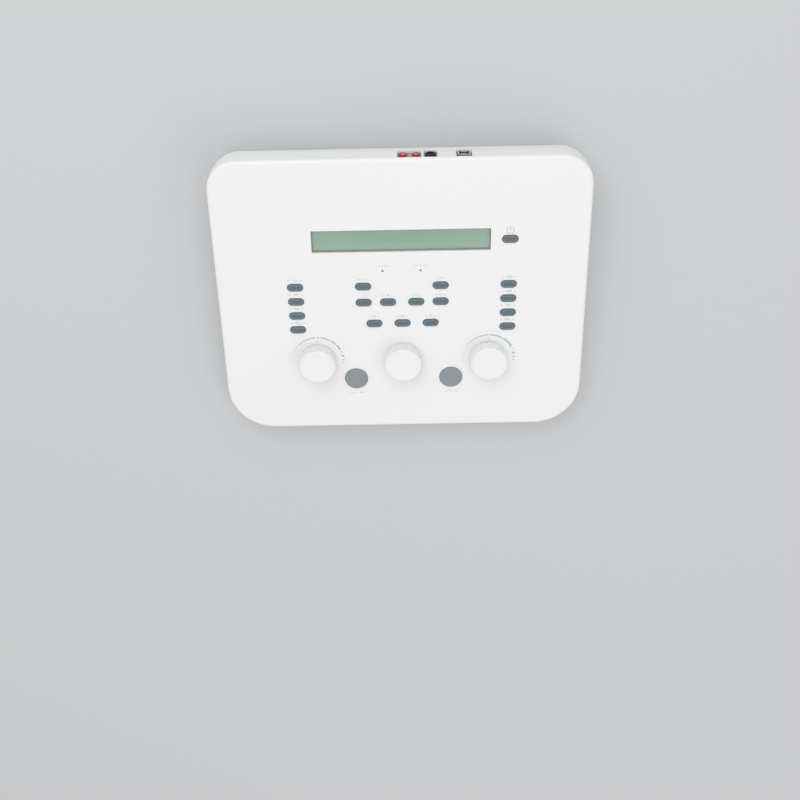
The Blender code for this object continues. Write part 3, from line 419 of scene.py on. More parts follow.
def cut(piece, tool, operation="DIFFERENCE"):
    """Cut one shape out of a piece and drop the cutter."""
    apply_modifier(piece, "BOOLEAN", operation=operation, solver="EXACT", object=tool)
    bpy.data.objects.remove(tool)


def weld(piece, part):
    """Make one shape a single body with a piece."""
    cut(piece, part, "UNION")


def panel_place(joint_name):
    """Where a joint stands, in the panel's frame."""
    return panel.inverted() @ Vector(joints[joint_name]["pos_m"])


def middle_x(node):
    """Where the middle of a solid lies along the width."""
    low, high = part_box(node)
    return (low.x + high.x) / 2


def smooth(piece, angle=35.0, weighted=True):
    """Shade a finished shape smooth, with its real edges crisp."""
    close(piece)
    bpy.ops.object.shade_smooth_by_angle(angle=radians(angle))
    if weighted:
        apply_modifier(piece, "WEIGHTED_NORMAL", keep_sharp=True, weight=100)


def set_on_panel(piece):
    """Carry a finished shape from the panel's frame to its place on the console."""
    close(piece)
    piece.data.transform(panel)
    piece.data.update()


def finish_piece(piece, material, body, slot, *nodes):
    """Give a piece its finish, its body and the solids that it stands for."""
    piece.data.materials.clear()
    piece.data.materials.append(material)
    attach(piece, body)
    if nodes:
        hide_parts(*nodes)


slot_keys = sorted(
    name[: -len("_press")] for name in joints
    if name.endswith("_press") and name not in ("present_key_press", "talk_key_press")
)
round_keys = ["present_key", "talk_key"]
dials = ["left", "center", "right"]
lamps = ["lamp_left", "lamp_right"]
nose_radius = 0.0038
socket_margin = 0.0014
bay_top, bay_sill = -0.0036, -0.0215
bay_corner = 0.0012
plate_front = console_depth / 2 - wall - 0.0008
rearward = Matrix.Rotation(-pi / 2, 4, "X")
jacks = ["jack_left", "jack_right"]
jack_reach = nose_radius + socket_margin
bays = [(middle_x("jack_left") - jack_reach, middle_x("jack_right") + jack_reach)]
for socket in ("power_inlet", "usb_socket"):
    low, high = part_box(socket)
    bays.append((low.x - socket_margin, high.x + socket_margin))

white = moulded("white_housing_plastic", (0.86, 0.866, 0.862), 0.42, shift=0.010, Specular_IOR_Level=0.36)

cover = corner_plate(
    "top_cover_shell", console_width, console_depth, rear_corner, front_corner, -skirt, corner_segments,
)
pick_all()
lift(skirt)
turn_outwards()
pick(cover, "FACE", at_height(-skirt))
bpy.ops.mesh.delete(type="FACE")
pick(cover, "EDGE", at_height(0.0))
bpy.ops.mesh.bevel(offset=edge_round, segments=edge_steps, affect="EDGES")
close(cover)
apply_modifier(cover, "SOLIDIFY", thickness=wall, offset=-1.0, use_even_offset=True)

slot_hole = slot_prism("slot_hole", slot_length + 2 * gap, slot_width + 2 * gap, -wall - overrun, overrun)
cut(cover, place_copies(slot_hole, [panel_place(f"{key}_press") for key in slot_keys]))
round_hole = round_prism("round_hole", round_key_radius + gap, -wall - overrun, overrun, 96)
cut(cover, place_copies(round_hole, [panel_place(f"{key}_press") for key in round_keys]))
neck_hole = round_prism("neck_hole", bushing_radius + gap, -wall - overrun, overrun)
cut(cover, place_copies(neck_hole, [panel_place(f"{side}_dial_turn") for side in dials]))
lamp_hole = round_prism("lamp_hole", lamp_radius + gap, -wall - overrun, overrun, 32)
lamp_places = [Vector((side * lamp_x, lamp_y, 0.0)) for side in (-1, 1)]
cut(cover, place_copies(lamp_hole, lamp_places))
window_hole = corner_block("window_hole", *window_size, window_corner, -wall - overrun, overrun)
cut(cover, place_copies(window_hole, [Vector((0.0, window_y, 0.0))]))


def bay_cutter():
    """The blocks that open the rear wall for the sockets."""
    blocks = []
    for left, right in bays:
        size = (right - left, bay_top - bay_sill)
        block = corner_block("bay_hole", *size, bay_corner, plate_front, console_depth / 2 + overrun)
        middle = Matrix.Translation(((left + right) / 2, 0.0, (bay_top + bay_sill) / 2))
        block.data.transform(middle @ rearward)
        blocks.append(block)
    return join(blocks, "bay_holes")


cut(cover, bay_cutter())
soften(cover, fine_edge)
smooth(cover)
set_on_panel(cover)
finish_piece(cover, white, "console", "white_housing", "top_cover")


# Tub: the lower half of the housing, moulded in the same white plastic. Its sides sweep in
# from the parting line to a level underside, and four columns in it take the long screws.
underside = 0.003
underside_inset = 0.024
straight_share = 0.03
sweep_steps = 18
ring_step = 0.002
parting = skirt + gap
lip_height = 0.0022
lip_wall = 0.0011
lip_root = 0.0012
lip_width = lip_wall - 0.0001
column_radius = 0.0045
screw_seat = 0.0045
head_bore_radius = 0.0036
shank_bore_radius = 0.0018
bore_overlap = 0.001
screw_x = middle_x("cover_screw_rear_right")
screw_rows = {"front": -0.1015, "rear": 0.1110}
foot_radius = 0.008
foot_seat = 0.0010
plate_size = Vector((0.070, 0.036))
plate_corner = 0.002
plate_depth = 0.0004
plate_place = Vector((0.0, 0.01, 0.0))


def floor_drop(y, height):
    """How far under the face a level height lies, at a place up the slope."""
    return ((panel @ Vector((0.0, y, 0.0))).z - height) / panel_out.z


def sweep(piece, rings):
    """Draw the stacked outlines of a block into the tub's swept sides."""
    shape = bmesh.new()
    shape.from_mesh(piece.data)
    for point in shape.verts:
        inset, share = rings[round(-point.co.z / ring_step)]
        radius = rear_corner if point.co.y > 0 else front_corner
        reach_x, reach_y = console_width / 2 - radius, console_depth / 2 - radius
        core = Vector((
            max(-reach_x, min(reach_x, point.co.x)),
            max(-reach_y, min(reach_y, point.co.y)),
        ))
        place = Vector(point.co.xy)
        outward = (place - core).normalized()
        place -= outward * inset
        run = floor_drop(place.y, underside) - parting
        point.co = (place.x, place.y, -parting - run * share)
    shape.to_mesh(piece.data)
    shape.free()


rings = [(0.0, 0.0)]
for step in range(sweep_steps + 1):
    turn = pi / 2 * step / sweep_steps
    rings.append((underside_inset * (1 - cos(turn)), straight_share + (1 - straight_share) * sin(turn)))

tub = corner_plate("tub_shell", console_width, console_depth, rear_corner, front_corner, 0.0, corner_segments)
pick_all()
for ring in rings[1:]:
    lift(-ring_step)
turn_outwards()
pick(tub, "FACE", at_height(0.0))
bpy.ops.mesh.delete(type="ONLY_FACE")
close(tub)
sweep(tub, rings)
apply_modifier(tub, "SOLIDIFY", thickness=wall, offset=-1.0, use_even_offset=True)

lip = corner_plate(
    "lip", console_width - 2 * (wall - lip_wall), console_depth - 2 * (wall - lip_wall),
    rear_corner - wall + lip_wall, front_corner - wall + lip_wall, -parting - lip_root, corner_segments,
)
pick_all()
bpy.ops.mesh.inset(thickness=lip_width)
bpy.ops.mesh.delete(type="FACE")
pick_all()
lift(lip_root + lip_height)
turn_outwards()
close(lip)
weld(tub, lip)

screw_places = {}
for row, y in screw_rows.items():
    ends = [Vector((side * screw_x, y, 0.0)) for side in (-1, 1)]
    screw_places[row] = ends
    column = round_prism("column", column_radius, -floor_drop(y, underside + wall / 2), -parting, 32)
    weld(tub, place_copies(column, ends))
    head_foot = -floor_drop(y, 0.0) - overrun
    head_bore = round_prism("head_bore", head_bore_radius, head_foot, -parting - screw_seat, 32)
    cut(tub, place_copies(head_bore, ends))
    shank_foot = -parting - screw_seat - bore_overlap
    shank_bore = round_prism("shank_bore", shank_bore_radius, shank_foot, -skirt + overrun, 24)
    cut(tub, place_copies(shank_bore, ends))
cut(tub, bay_cutter())
set_on_panel(tub)

feet = [f"foot_{end}_{side}" for end in ("front", "rear") for side in ("left", "right")]
foot_places = []
for foot in feet:
    low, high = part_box(foot)
    foot_places.append(Vector(((low.x + high.x) / 2, (low.y + high.y) / 2, 0.0)))
pocket = round_prism("pocket", foot_radius + gap, 0.0, underside + foot_seat, 48)
cut(tub, place_copies(pocket, foot_places))
plate_recess = corner_block("plate_recess", *plate_size, plate_corner, 0.0, underside + plate_depth)
cut(tub, place_copies(plate_recess, [plate_place]))
soften(tub, fine_edge)
smooth(tub)
finish_piece(tub, white, "console", "white_housing", "bottom_cover")


# Feet: four round rubber buttons pressed into shallow pockets, a little narrower at the
# table, each with a small hollow in its middle.
def scale_flat(share, centre=(0.0, 0.0, 0.0)):
    """Scale what is chosen along x and y, about a centre."""
    bpy.ops.transform.resize(value=(share, share, 1.0), center_override=centre)


def turned(name, rows, points=48):
    """A turned shape: a disc drawn through rows of radius and height."""
    radius, height = rows[0]
    piece = begin(
        bpy.ops.mesh.primitive_circle_add, name,
        vertices=points, radius=radius, fill_type="NGON", location=(0.0, 0.0, 0.0),
    )
    pick_all()
    bpy.ops.transform.translate(value=(0.0, 0.0, height))
    for next_radius, next_height in rows[1:]:
        lift(next_height - height)
        scale_flat(next_radius / radius)
        radius, height = next_radius, next_height
    turn_outwards()
    close(piece)
    return piece


rubber = moulded("foot_rubber_black", (0.028, 0.029, 0.030), 0.82, grain=2600.0, depth=0.00004, shift=0.2)
foot_top = underside + foot_seat - gap
foot_rows = [
    (foot_radius, foot_top), (foot_radius - 0.0001, foot_top - 0.0008),
    (foot_radius - 0.0008, 0.0006), (foot_radius - 0.00098, 0.00022), (foot_radius - 0.0014, 0.0),
    (0.0036, 0.0), (0.0033, 0.0003), (0.0010, 0.0005),
]
foot_shape = turned("foot_shape", foot_rows, 64)
smooth(foot_shape)
for foot, place in zip(feet, foot_places):
    button = copy_to(foot_shape, foot.replace("foot", "rubber_foot"), Matrix.Translation(place))
    finish_piece(button, rubber, "console", "foot_rubber", foot)
bpy.data.objects.remove(foot_shape)


# Long screws: four plated steel screws with a cross in the head, sunk in the tub's columns
# and driven up into the top cover.
def metal(name, colour, roughness, scratch=900.0):
    """Plated metal with fine brushed scratches and a slight change of gloss."""
    paint = Paint(name, colour, roughness, Metallic=1.0)
    place = paint.place()
    stretched = paint.node("ShaderNodeMapping", None, {"Vector": place, "Scale": (1.0, 14.0, 1.0)})
    lines = paint.noise(scratch, 2.0, stretched)
    cloud = paint.noise(60.0)
    paint.feed("Roughness", lines * 0.12 + cloud * 0.10 + (roughness - 0.10))
    darker = tuple(part * 0.82 for part in colour)
    paint.feed("Base Color", paint.mix(cloud, (*darker, 1.0), (*colour, 1.0)))
    paint.bump(lines, 0.00001)
    return paint.material


def on_panel(place):
    """The panel's frame, moved to a place on it."""
    return panel @ Matrix.Translation(place)


steel = metal("zinc_plated_steel", (0.62, 0.62, 0.60), 0.32)
screw_under = -parting - screw_seat - gap
head_height = 0.0024
screw_length = 0.015
cross_size = Vector((0.0034, 0.0008))
cross_corner = 0.0002
screw_profile = [
    (0.0024, screw_under - head_height), (0.0028, screw_under - head_height + 0.0003),
    (0.0030, screw_under - head_height + 0.0009), (0.0030, screw_under), (0.0015, screw_under),
    (0.0015, screw_under + screw_length - 0.0012), (0.0009, screw_under + screw_length),
]
screw_shape = turned("screw_shape", screw_profile, 32)
cross_low, cross_high = screw_under - head_height - 0.001, screw_under - 0.0010
for turn in (0.0, pi / 2):
    bar = corner_block("cross_bar", *cross_size, cross_corner, cross_low, cross_high, 2)
    bar.data.transform(Matrix.Rotation(turn, 4, "Z"))
    cut(screw_shape, bar)
smooth(screw_shape, 40.0)
for row, places in screw_places.items():
    for side, place in zip(("left", "right"), places):
        screw = copy_to(screw_shape, f"long_screw_{row}_{side}", on_panel(place))
        finish_piece(screw, steel, "console", "bright_metal", f"cover_screw_{row}_{side}")
bpy.data.objects.remove(screw_shape)


# Display: a character panel of grey-green liquid crystal behind a dark grey frame, with a clear
# window of acrylic let into the face.
glass_thickness = 0.0013
frame_top = -wall - gap
frame_thickness = 0.0012
frame_border = 0.0009
frame_lap = 0.0015
screen_top = frame_top - frame_thickness - gap
screen_thickness = 0.0040
screen_wider, screen_deeper = 0.0010, 0.0020
glass_edge = 0.00015
screen_edge = 0.0003
cell_pitch = Vector((0.00355, 0.00595))
cell_half_x, cell_half_y = 0.00155, 0.0026
dot_pitch = 0.00060
dot_half = 0.00026


def set_in_window(piece, edge):
    """Round a display piece's edges and set it under the middle of the window."""
    soften(piece, edge)
    smooth(piece)
    piece.data.transform(Matrix.Translation((0.0, window_y, 0.0)))
    set_on_panel(piece)


glass = corner_block(
    "window_pane", window_size.x - 2 * gap, window_size.y - 2 * gap, window_corner,
    -wall, glass_thickness - wall,
)
set_in_window(glass, glass_edge)
acrylic = Paint("clear_acrylic", (0.93, 0.96, 0.95), 0.09, Specular_IOR_Level=0.6)
acrylic_haze = acrylic.noise(45.0)
acrylic.feed("Roughness", acrylic_haze * 0.06 + 0.05)
acrylic.feed("Alpha", acrylic_haze * 0.04 + 0.06)
finish_piece(glass, acrylic.material, "console", "clear_glass", "display_glass")

surround = corner_block(
    "display_surround", window_size.x + 2 * frame_lap, window_size.y + 2 * frame_lap, window_corner,
    frame_top - frame_thickness, frame_top,
)
opening = corner_block(
    "opening", window_size.x - 2 * frame_border, window_size.y - 2 * frame_border, window_corner,
    frame_top - frame_thickness - overrun, frame_top + overrun,
)
cut(surround, opening)
set_in_window(surround, fine_edge)
dark_grey = moulded("dark_grey_plastic", (0.155, 0.160, 0.166), 0.48, shift=0.10)
finish_piece(surround, dark_grey, "console", "black_plastic", "display_bezel")

screen = corner_block(
    "display_screen", window_size.x + screen_wider, window_size.y + screen_deeper, window_corner,
    screen_top - screen_thickness, screen_top,
)
set_in_window(screen, screen_edge)
crystal = Paint("liquid_crystal", (0.26, 0.40, 0.30), 0.30, Specular_IOR_Level=0.4)
flat = crystal.node("ShaderNodeMapping", {"vector_type": "TEXTURE"}, {
    "Vector": crystal.place(),
    "Location": panel @ Vector((0.0, window_y, 0.0)),
    "Rotation": panel.to_euler(),
})
split = crystal.node("ShaderNodeSeparateXYZ", None, {"Vector": flat})
along, across = split, Signal(crystal, split.socket.node.outputs["Y"])
cell_x = along.wrapped(cell_pitch.x).distance(cell_pitch.x / 2)
cell_y = across.wrapped(cell_pitch.y).distance(cell_pitch.y / 2)
inside = (cell_half_x - cell_x).above(0.0) * (cell_half_y - cell_y).above(0.0)
dot_x = along.wrapped(dot_pitch).distance(dot_pitch / 2)
dot_y = across.wrapped(dot_pitch).distance(dot_pitch / 2)
dots = (dot_half - dot_x).above(0.0) * (dot_half - dot_y).above(0.0) * inside
# Painted shading stands in for the light on the screen: its colour is lighter at the front edge and at both
# ends, and darkest a little behind the middle.
ends = along.distance(0.0) * (1 / (window_size.x / 2))
rise = across * (1 / window_size.y) + 0.5
painted_shading = crystal.node("ShaderNodeValToRGB", {"stops": [
    (0.0, (0.28, 0.48, 0.30)), (0.18, (0.22, 0.41, 0.27)),
    (0.55, (0.17, 0.33, 0.22)), (1.0, (0.19, 0.37, 0.27)),
]}, {"Fac": rise})
shading_with_lit_ends = crystal.mix(ends * ends * 0.5, painted_shading, (0.27, 0.42, 0.32, 1.0))
cloudy = crystal.mix(crystal.noise(30.0) * 0.10, shading_with_lit_ends, (0.36, 0.50, 0.38, 1.0))
crystal.feed("Base Color", crystal.mix(dots * 0.10, cloudy, (0.12, 0.22, 0.16, 1.0)))
crystal.feed("Roughness", crystal.noise(800.0) * 0.08 + 0.26)
finish_piece(screen, crystal.material, "console", "display_green", "display_panel")


# Keys: eighteen slot-shaped caps of slate-grey rubber. Each has steep sides, a sloped
# shoulder and a slightly hollow crown, with a flange under the face that holds it in.
key_rise = 0.0015
key_flange = 0.0010
key_flange_top = -wall - gap
key_flange_foot = key_flange_top - 0.0012
key_stem_foot = key_flange_foot - 0.0015
key_step = slot_length - slot_width
key_stem = 0.0040
highlight_band_depth = 0.00010
key_rows = [
    (key_stem, key_stem_foot), (key_stem, key_flange_foot),
    (slot_width + 2 * key_flange, key_flange_foot), (slot_width + 2 * key_flange, key_flange_top),
    (slot_width, key_flange_top), (slot_width, 0.0003),
    (slot_width - 0.0002, 0.0006), (slot_width - 0.0005, 0.0008),
    (0.0058, 0.00133), (0.0055, 0.00143), (0.0052, key_rise), (0.0049, key_rise),
    (0.0045, 0.00143), (0.0038, 0.00125), (0.0024, 0.00112), (0.0010, 0.0011),
]


def slot_drawn(name, step, rows, points):
    """A slot-shaped block, drawn through rows of width and height, with its end centres a step apart."""
    width, height = rows[0]
    piece = begin(
        bpy.ops.mesh.primitive_circle_add, name,
        vertices=points, radius=width / 2, fill_type="NGON", location=(0.0, 0.0, 0.0),
    )
    pick_all()
    bpy.ops.transform.rotate(value=pi / points, orient_axis="Z", center_override=(0.0, 0.0, 0.0))
    for side in (-1, 1):
        pick(piece, "VERT", lambda point: point.co.x * side > 0)
        bpy.ops.transform.translate(value=(side * step / 2, 0.0, height))
    pick_all()
    for next_width, next_height in rows[1:]:
        lift(next_height - height)
        shape = bmesh.from_edit_mesh(piece.data)
        cap = {point.index for point in shape.verts if point.select}
        for side in (-1, 1):
            pick(piece, "VERT", lambda point: point.index in cap and point.co.x * side > 0)
            scale_flat(next_width / width, (side * step / 2, 0.0, 0.0))
        pick(piece, "VERT", lambda point: point.index in cap)
        bpy.ops.mesh.select_mode(type="FACE")
        width, height = next_width, next_height
    turn_outwards()
    close(piece)
    return piece


def mark_edge(piece, test):
    """Store on each point how much of the painted highlight it carries, for the finish to read."""
    painted_ring = piece.data.attributes.new("rubbed", "FLOAT", "POINT")
    painted_ring.data.foreach_set("value", [test(point.co) for point in piece.data.vertices])


slate = Paint("slate_rubber", (0.105, 0.145, 0.175), 0.50, Specular_IOR_Level=0.4)
painted_ring = slate.node("ShaderNodeAttribute", {"attribute_name": "rubbed"}, None, "Fac")
patch = slate.noise(420.0, 3.0)
base = slate.mix(patch, (0.092, 0.132, 0.162, 1.0), (0.112, 0.156, 0.188, 1.0))
# Painted highlight: the marked top band of each crown is painted a lighter slate, where its rounded rim would
# catch the light.
slate.feed("Base Color", slate.mix(painted_ring * 0.75, base, (0.200, 0.262, 0.302, 1.0)))
slate.feed("Roughness", slate.noise(1800.0, 3.0) * 0.14 + 0.42)
slate.bump(slate.noise(2400.0, 3.0), 0.00002)

key_shape = slot_drawn("key_shape", key_step, key_rows, 64)
# The top band of the crown is marked for the painted highlight.
mark_edge(key_shape, lambda co: 1.0 if co.z > key_rise - highlight_band_depth else 0.0)
smooth(key_shape, 50.0, False)
for key in slot_keys:
    cap = copy_to(key_shape, f"{key}_cap", on_panel(panel_place(f"{key}_press")))
    finish_piece(cap, slate.material, key, "slate_key", key)
bpy.data.objects.remove(key_shape)


# Round keys: two flat discs of the same rubber in a lighter slate grey. The flange and the
# stem are those of the slot-shaped keys, and the top is a little hollow.
round_rise = 0.0012
disc_rows = [
    (key_stem, key_stem_foot), (key_stem, key_flange_foot),
    (round_key_radius + key_flange, key_flange_foot), (round_key_radius + key_flange, key_flange_top),
    (round_key_radius, key_flange_top), (round_key_radius, round_rise - 0.0006),
    (round_key_radius - 0.00012, round_rise - 0.0003), (round_key_radius - 0.00035, round_rise - 0.0001),
    (round_key_radius - 0.0007, round_rise), (round_key_radius - 0.0011, round_rise),
    (round_key_radius - 0.0050, round_rise - 0.00022), (0.0010, round_rise - 0.0003),
]
pale_slate = moulded(
    "pale_slate_rubber", (0.262, 0.303, 0.325), 0.52, grain=2200.0, depth=0.00002, shift=0.14,
)
disc_shape = turned("disc_shape", disc_rows, 96)
smooth(disc_shape, 50.0, False)
for key in round_keys:
    disc = copy_to(disc_shape, f"{key}_cap", on_panel(panel_place(f"{key}_press")))
    finish_piece(disc, pale_slate, key, "slate_round_key", key)
bpy.data.objects.remove(disc_shape)


# Dials: three white knobs, each moulded with sixty fine ribs that end just under a smooth,
# shallow dished cap. A hub inside grips the encoder's shaft.
dial_radius = 0.0188
dial_height = 0.0155
dial_float = 0.0008
dial_wall = 0.0022
dial_roof = dial_height - 0.0026
hub_radius = 0.00525
hub_lift = 0.0055
rib_count = 60
rib_root = dial_radius - 0.0011
points_per_rib = 6
rib_cuts = {0: 0.16, 2: 0.16, 3: 0.90, 4: 1.0, 5: 0.90}
column_angle = tau / (rib_count * points_per_rib)
rib_top = dial_height - 0.00075
ribbed_rows = [
    (dial_radius, dial_float + 0.0004), (dial_radius - 0.00010, rib_top - 0.0008),
    (dial_radius - 0.00020, rib_top - 0.0003), (dial_radius - 0.00045, rib_top),
]
dial_rows = [
    (0.0033, dial_roof), (0.0033, hub_lift + 0.0003), (0.0036, hub_lift),
    (hub_radius, hub_lift), (hub_radius, dial_roof), (rib_root - dial_wall, dial_roof),
    (rib_root - dial_wall, dial_float), (rib_root - 0.0002, dial_float),
]
dial_rows += ribbed_rows
dial_rows += [
    (rib_root - 0.00005, rib_top), (rib_root - 0.00020, dial_height - 0.00032),
    (rib_root - 0.00045, dial_height - 0.00012), (rib_root - 0.00090, dial_height),
    (rib_root - 0.00180, dial_height), (rib_root - 0.00210, dial_height - 0.00008),
    (rib_root - 0.00230, dial_height - 0.00030), (rib_root - 0.00270, dial_height - 0.00035),
    (0.0060, dial_height - 0.00050), (0.0010, dial_height - 0.00055),
]


def in_column(column, radius, height):
    """A test for the points of one row that lie in one column of each rib."""
    def found(point):
        turn = round(atan2(point.co.y, point.co.x) / column_angle) % points_per_rib
        on_row = abs(point.co.z - height) < near and abs(point.co.xy.length - radius) < near
        return on_row and turn == column
    return found


dial_shape = turned("dial_shape", dial_rows, rib_count * points_per_rib)
bpy.ops.object.mode_set(mode="EDIT")
for column, depth in rib_cuts.items():
    for radius, height in ribbed_rows:
        pick(dial_shape, "VERT", in_column(column, radius, height))
        scale_flat(1 + (rib_root / radius - 1) * depth)
close(dial_shape)
smooth(dial_shape, 32.0, False)
dial_white = moulded("white_dial_plastic", (0.86, 0.868, 0.862), 0.40, grain=1800.0, shift=0.012)
for side in dials:
    knob = copy_to(dial_shape, f"{side}_knob", on_panel(panel_place(f"{side}_dial_turn")))
    finish_piece(knob, dial_white, f"{side}_dial", "white_dial", f"dial_{side}")
bpy.data.objects.remove(dial_shape)


# Lamps: two small signal lamps with smoked plastic domes, soldered to the control board.
# The domes come up through the face and end almost level with it.
dome_foot = -0.0002
dome_height = 0.0007
dome_steps = 6
lamp_rows = [
    (0.0017, -0.0097), (0.0017, -0.0090), (0.0016, -0.0089), (lamp_radius, -0.0089), (lamp_radius, dome_foot),
]
for step in range(1, dome_steps):
    turn = pi / 2 * step / dome_steps
    lamp_rows.append((lamp_radius * cos(turn), dome_foot + dome_height * sin(turn)))
smoked = Paint("smoked_lens", (0.27, 0.30, 0.31), 0.16, Specular_IOR_Level=0.6)
inner_glow = smoked.noise(900.0)
smoked.feed("Base Color", smoked.mix(inner_glow, (0.27, 0.31, 0.33, 1.0), (0.40, 0.45, 0.47, 1.0)))
smoked.feed("Roughness", smoked.noise(300.0) * 0.1 + 0.12)
lamp_shape = turned("lamp_shape", lamp_rows, 32)
smooth(lamp_shape, 40.0, False)
for lamp, place in zip(lamps, lamp_places):
    lens = copy_to(lamp_shape, f"{lamp}_lens", on_panel(place))
    finish_piece(lens, smoked.material, "console", "lamp_lens", lamp)
bpy.data.objects.remove(lamp_shape)


# Print: slate-blue level scales round the outer dials, a power sign and small pale numbers,
# screen-printed on the face. Each mark is a thin layer of ink.
ink_top = 0.00005
ink_foot = -0.00005
scale_radius = 0.0258
sign_centre = Vector((0.1052, 0.0738, 0.0))
sign_radius = 0.0034
sign_line = 0.0006
sign_bar = 0.0034
sign_bar_rise = 0.0020
label_line = 0.00045
label_rise = 0.0077
round_label_rise = -0.0172
lamp_label_rise = 0.0053
dial_mark_rise = 0.0212
side_label = {"size": 0.0032, "line": 0.0026, "reach": 0.0058}
key_label = {"size": 0.0031, "line": 0.0022, "reach": 0.0040}
round_label = {"size": 0.0036, "line": 0.0040, "reach": 0.0048}
lamp_label = {"size": 0.0031, "line": 0.0036, "reach": 0.0042}


def arc_mark(radius, start_width, end_width, start, end, centre):
    """A printed arc between two angles in degrees, which may widen on its way."""
    if end < start:
        start, end, start_width, end_width = end, start, end_width, start_width
    turn = radians(end - start)
    steps = max(2, round((end - start) / 2.5))
    piece = begin(bpy.ops.mesh.primitive_plane_add, "arc_mark", size=1.0, location=(radius, 0.0, ink_foot))
    pick_all()
    bpy.ops.transform.resize(value=(0.001, 0.001, 1.0))
    pick(piece, "VERT", lambda point: point.co.y > 0)
    bpy.ops.mesh.delete(type="VERT")
    pick_all()
    bpy.ops.transform.translate(value=(0.0, 0.0005, 0.0))
    bpy.ops.mesh.spin(steps=steps, angle=-turn, center=(0.0, 0.0, ink_foot), axis=(0.0, 0.0, 1.0))
    pick_all()
    lift(ink_top - ink_foot)
    pick_all()
    bpy.ops.mesh.remove_doubles(threshold=0.000001)
    turn_outwards()
    settle()
    close(piece)
    for point in piece.data.vertices:
        angle = (atan2(point.co.y, point.co.x) + 0.001) % tau - 0.001
        width = start_width + (end_width - start_width) * angle / turn
        out = radius + (width / 2 if point.co.xy.length > radius else -width / 2)
        point.co = (out * cos(angle), out * sin(angle), point.co.z)
    piece.data.transform(Matrix.Translation(centre) @ Matrix.Rotation(radians(start), 4, "Z"))
    return piece


def number(text, size, place):
    """A printed number, centred on a place."""
    bpy.ops.object.select_all(action="DESELECT")
    bpy.ops.object.text_add(location=(0.0, 0.0, 0.0))
    words = bpy.context.object
    words.data.body = text
    words.data.size = size
    words.data.align_x = "CENTER"
    words.data.align_y = "CENTER"
    words.data.extrude = (ink_top - ink_foot) / 2
    words.data.resolution_u = 4
    bpy.ops.object.convert(target="MESH")
    bpy.ops.object.mode_set(mode="EDIT")
    pick_all()
    bpy.ops.mesh.remove_doubles(threshold=0.000002)
    turn_outwards()
    close(words)
    words.data.transform(Matrix.Translation(place))
    return words


def dash(width, height, place):
    """A short printed line."""
    line = corner_block("dash", width, height, height * 0.3, ink_foot, ink_top, 2)
    line.data.transform(Matrix.Translation(place))
    return line


def raised(place, rise):
    """A place moved up the slope of the panel."""
    return place + Vector((0.0, rise, 0.0))


def ink(name, colour):
    """Screen-printed ink: nearly even, with fine pinholes of gloss."""
    return moulded(name, colour, 0.55, grain=5200.0, depth=0.000004, shift=0.10)


slate_ink = ink("slate_blue_ink", (0.44, 0.56, 0.63))
pale_ink = ink("pale_grey_ink", (0.51, 0.53, 0.54))

left_marks = [
    (0.0004, 0.0004, 190.0, 188.0), (0.0004, 0.0005, 173.6, 171.6), (0.0006, 0.0006, 162.2, 160.4),
    (0.0004, 0.0013, 150.6, 93.3), (0.0013, 0.0013, 89.7, 84.9), (0.0013, 0.0017, 81.8, 60.0),
    (0.0018, 0.0020, 56.8, 43.4), (0.0020, 0.0022, 40.0, 27.0), (0.0018, 0.0018, 21.3, 19.3),
    (0.0028, 0.0028, 11.6, 7.0), (0.0028, 0.0028, 0.5, -1.9), (0.0016, 0.0016, -6.9, -9.2),
]
right_marks = [
    (0.0004, 0.0004, 190.0, 188.0), (0.0004, 0.0005, 173.6, 171.6), (0.0006, 0.0006, 162.2, 160.4),
    (0.0004, 0.0013, 150.6, 91.0), (0.0014, 0.0018, 88.0, 58.0), (0.0019, 0.0022, 56.0, 27.0),
    (0.0018, 0.0018, 21.3, 19.3), (0.0028, 0.0028, 12.6, 8.2), (0.0028, 0.0028, 1.4, -1.0),
    (0.0016, 0.0016, -6.2, -8.6),
]
for side, marks in (("left", left_marks), ("right", right_marks)):
    centre = Vector(panel_place(f"{side}_dial_turn"))
    arcs = [arc_mark(scale_radius, *mark, centre) for mark in marks]
    scale = join(arcs, f"{side}_dial_scale")
    set_on_panel(scale)
    finish_piece(scale, slate_ink, "console", "slate_key")

sign = join([
    arc_mark(sign_radius, sign_line, sign_line, 122.0, 418.0, sign_centre),
    dash(sign_line, sign_bar, raised(sign_centre, sign_bar_rise)),
], "power_sign")
set_on_panel(sign)
finish_piece(sign, pale_ink, "console", "ribbon_grey")


def label(text, place, size, line, reach):
    """A small printed number between two short lines."""
    ends = [dash(line, label_line, place + Vector((side * reach, 0.0, 0.0))) for side in (-1, 1)]
    return [number(text, size, place), *ends]


numbers = []
column_numbers = {
    "left": ("125", "250", "500", "750"), "right": ("1000", "2000", "4000", "8000"),
}
middle_keys = [key for key in slot_keys if "_side_key_" not in key and key != "power_key"]
middle_keys.sort(key=lambda key: (-round(panel_place(f"{key}_press").y, 3), panel_place(f"{key}_press").x))
for side, row_numbers in column_numbers.items():
    for row, text in enumerate(row_numbers, 1):
        place = raised(panel_place(f"{side}_side_key_{row}_press"), label_rise)
        numbers += label(text, place, **side_label)
for count, key in enumerate(middle_keys, 1):
    numbers += label(str(10 * count), raised(panel_place(f"{key}_press"), label_rise), **key_label)
for count, key in enumerate(round_keys, 1):
    numbers += label(str(count), raised(panel_place(f"{key}_press"), round_label_rise), **round_label)
for count, place in enumerate(lamp_places, 1):
    numbers += label(str(count), raised(place, lamp_label_rise), **lamp_label)
for side in ("left", "right"):
    numbers.append(dash(0.0028, 0.0004, raised(panel_place(f"{side}_dial_turn"), dial_mark_rise)))
print_layer = join(numbers, "panel_numbers")
set_on_panel(print_layer)
finish_piece(print_layer, pale_ink, "console", "ribbon_grey")


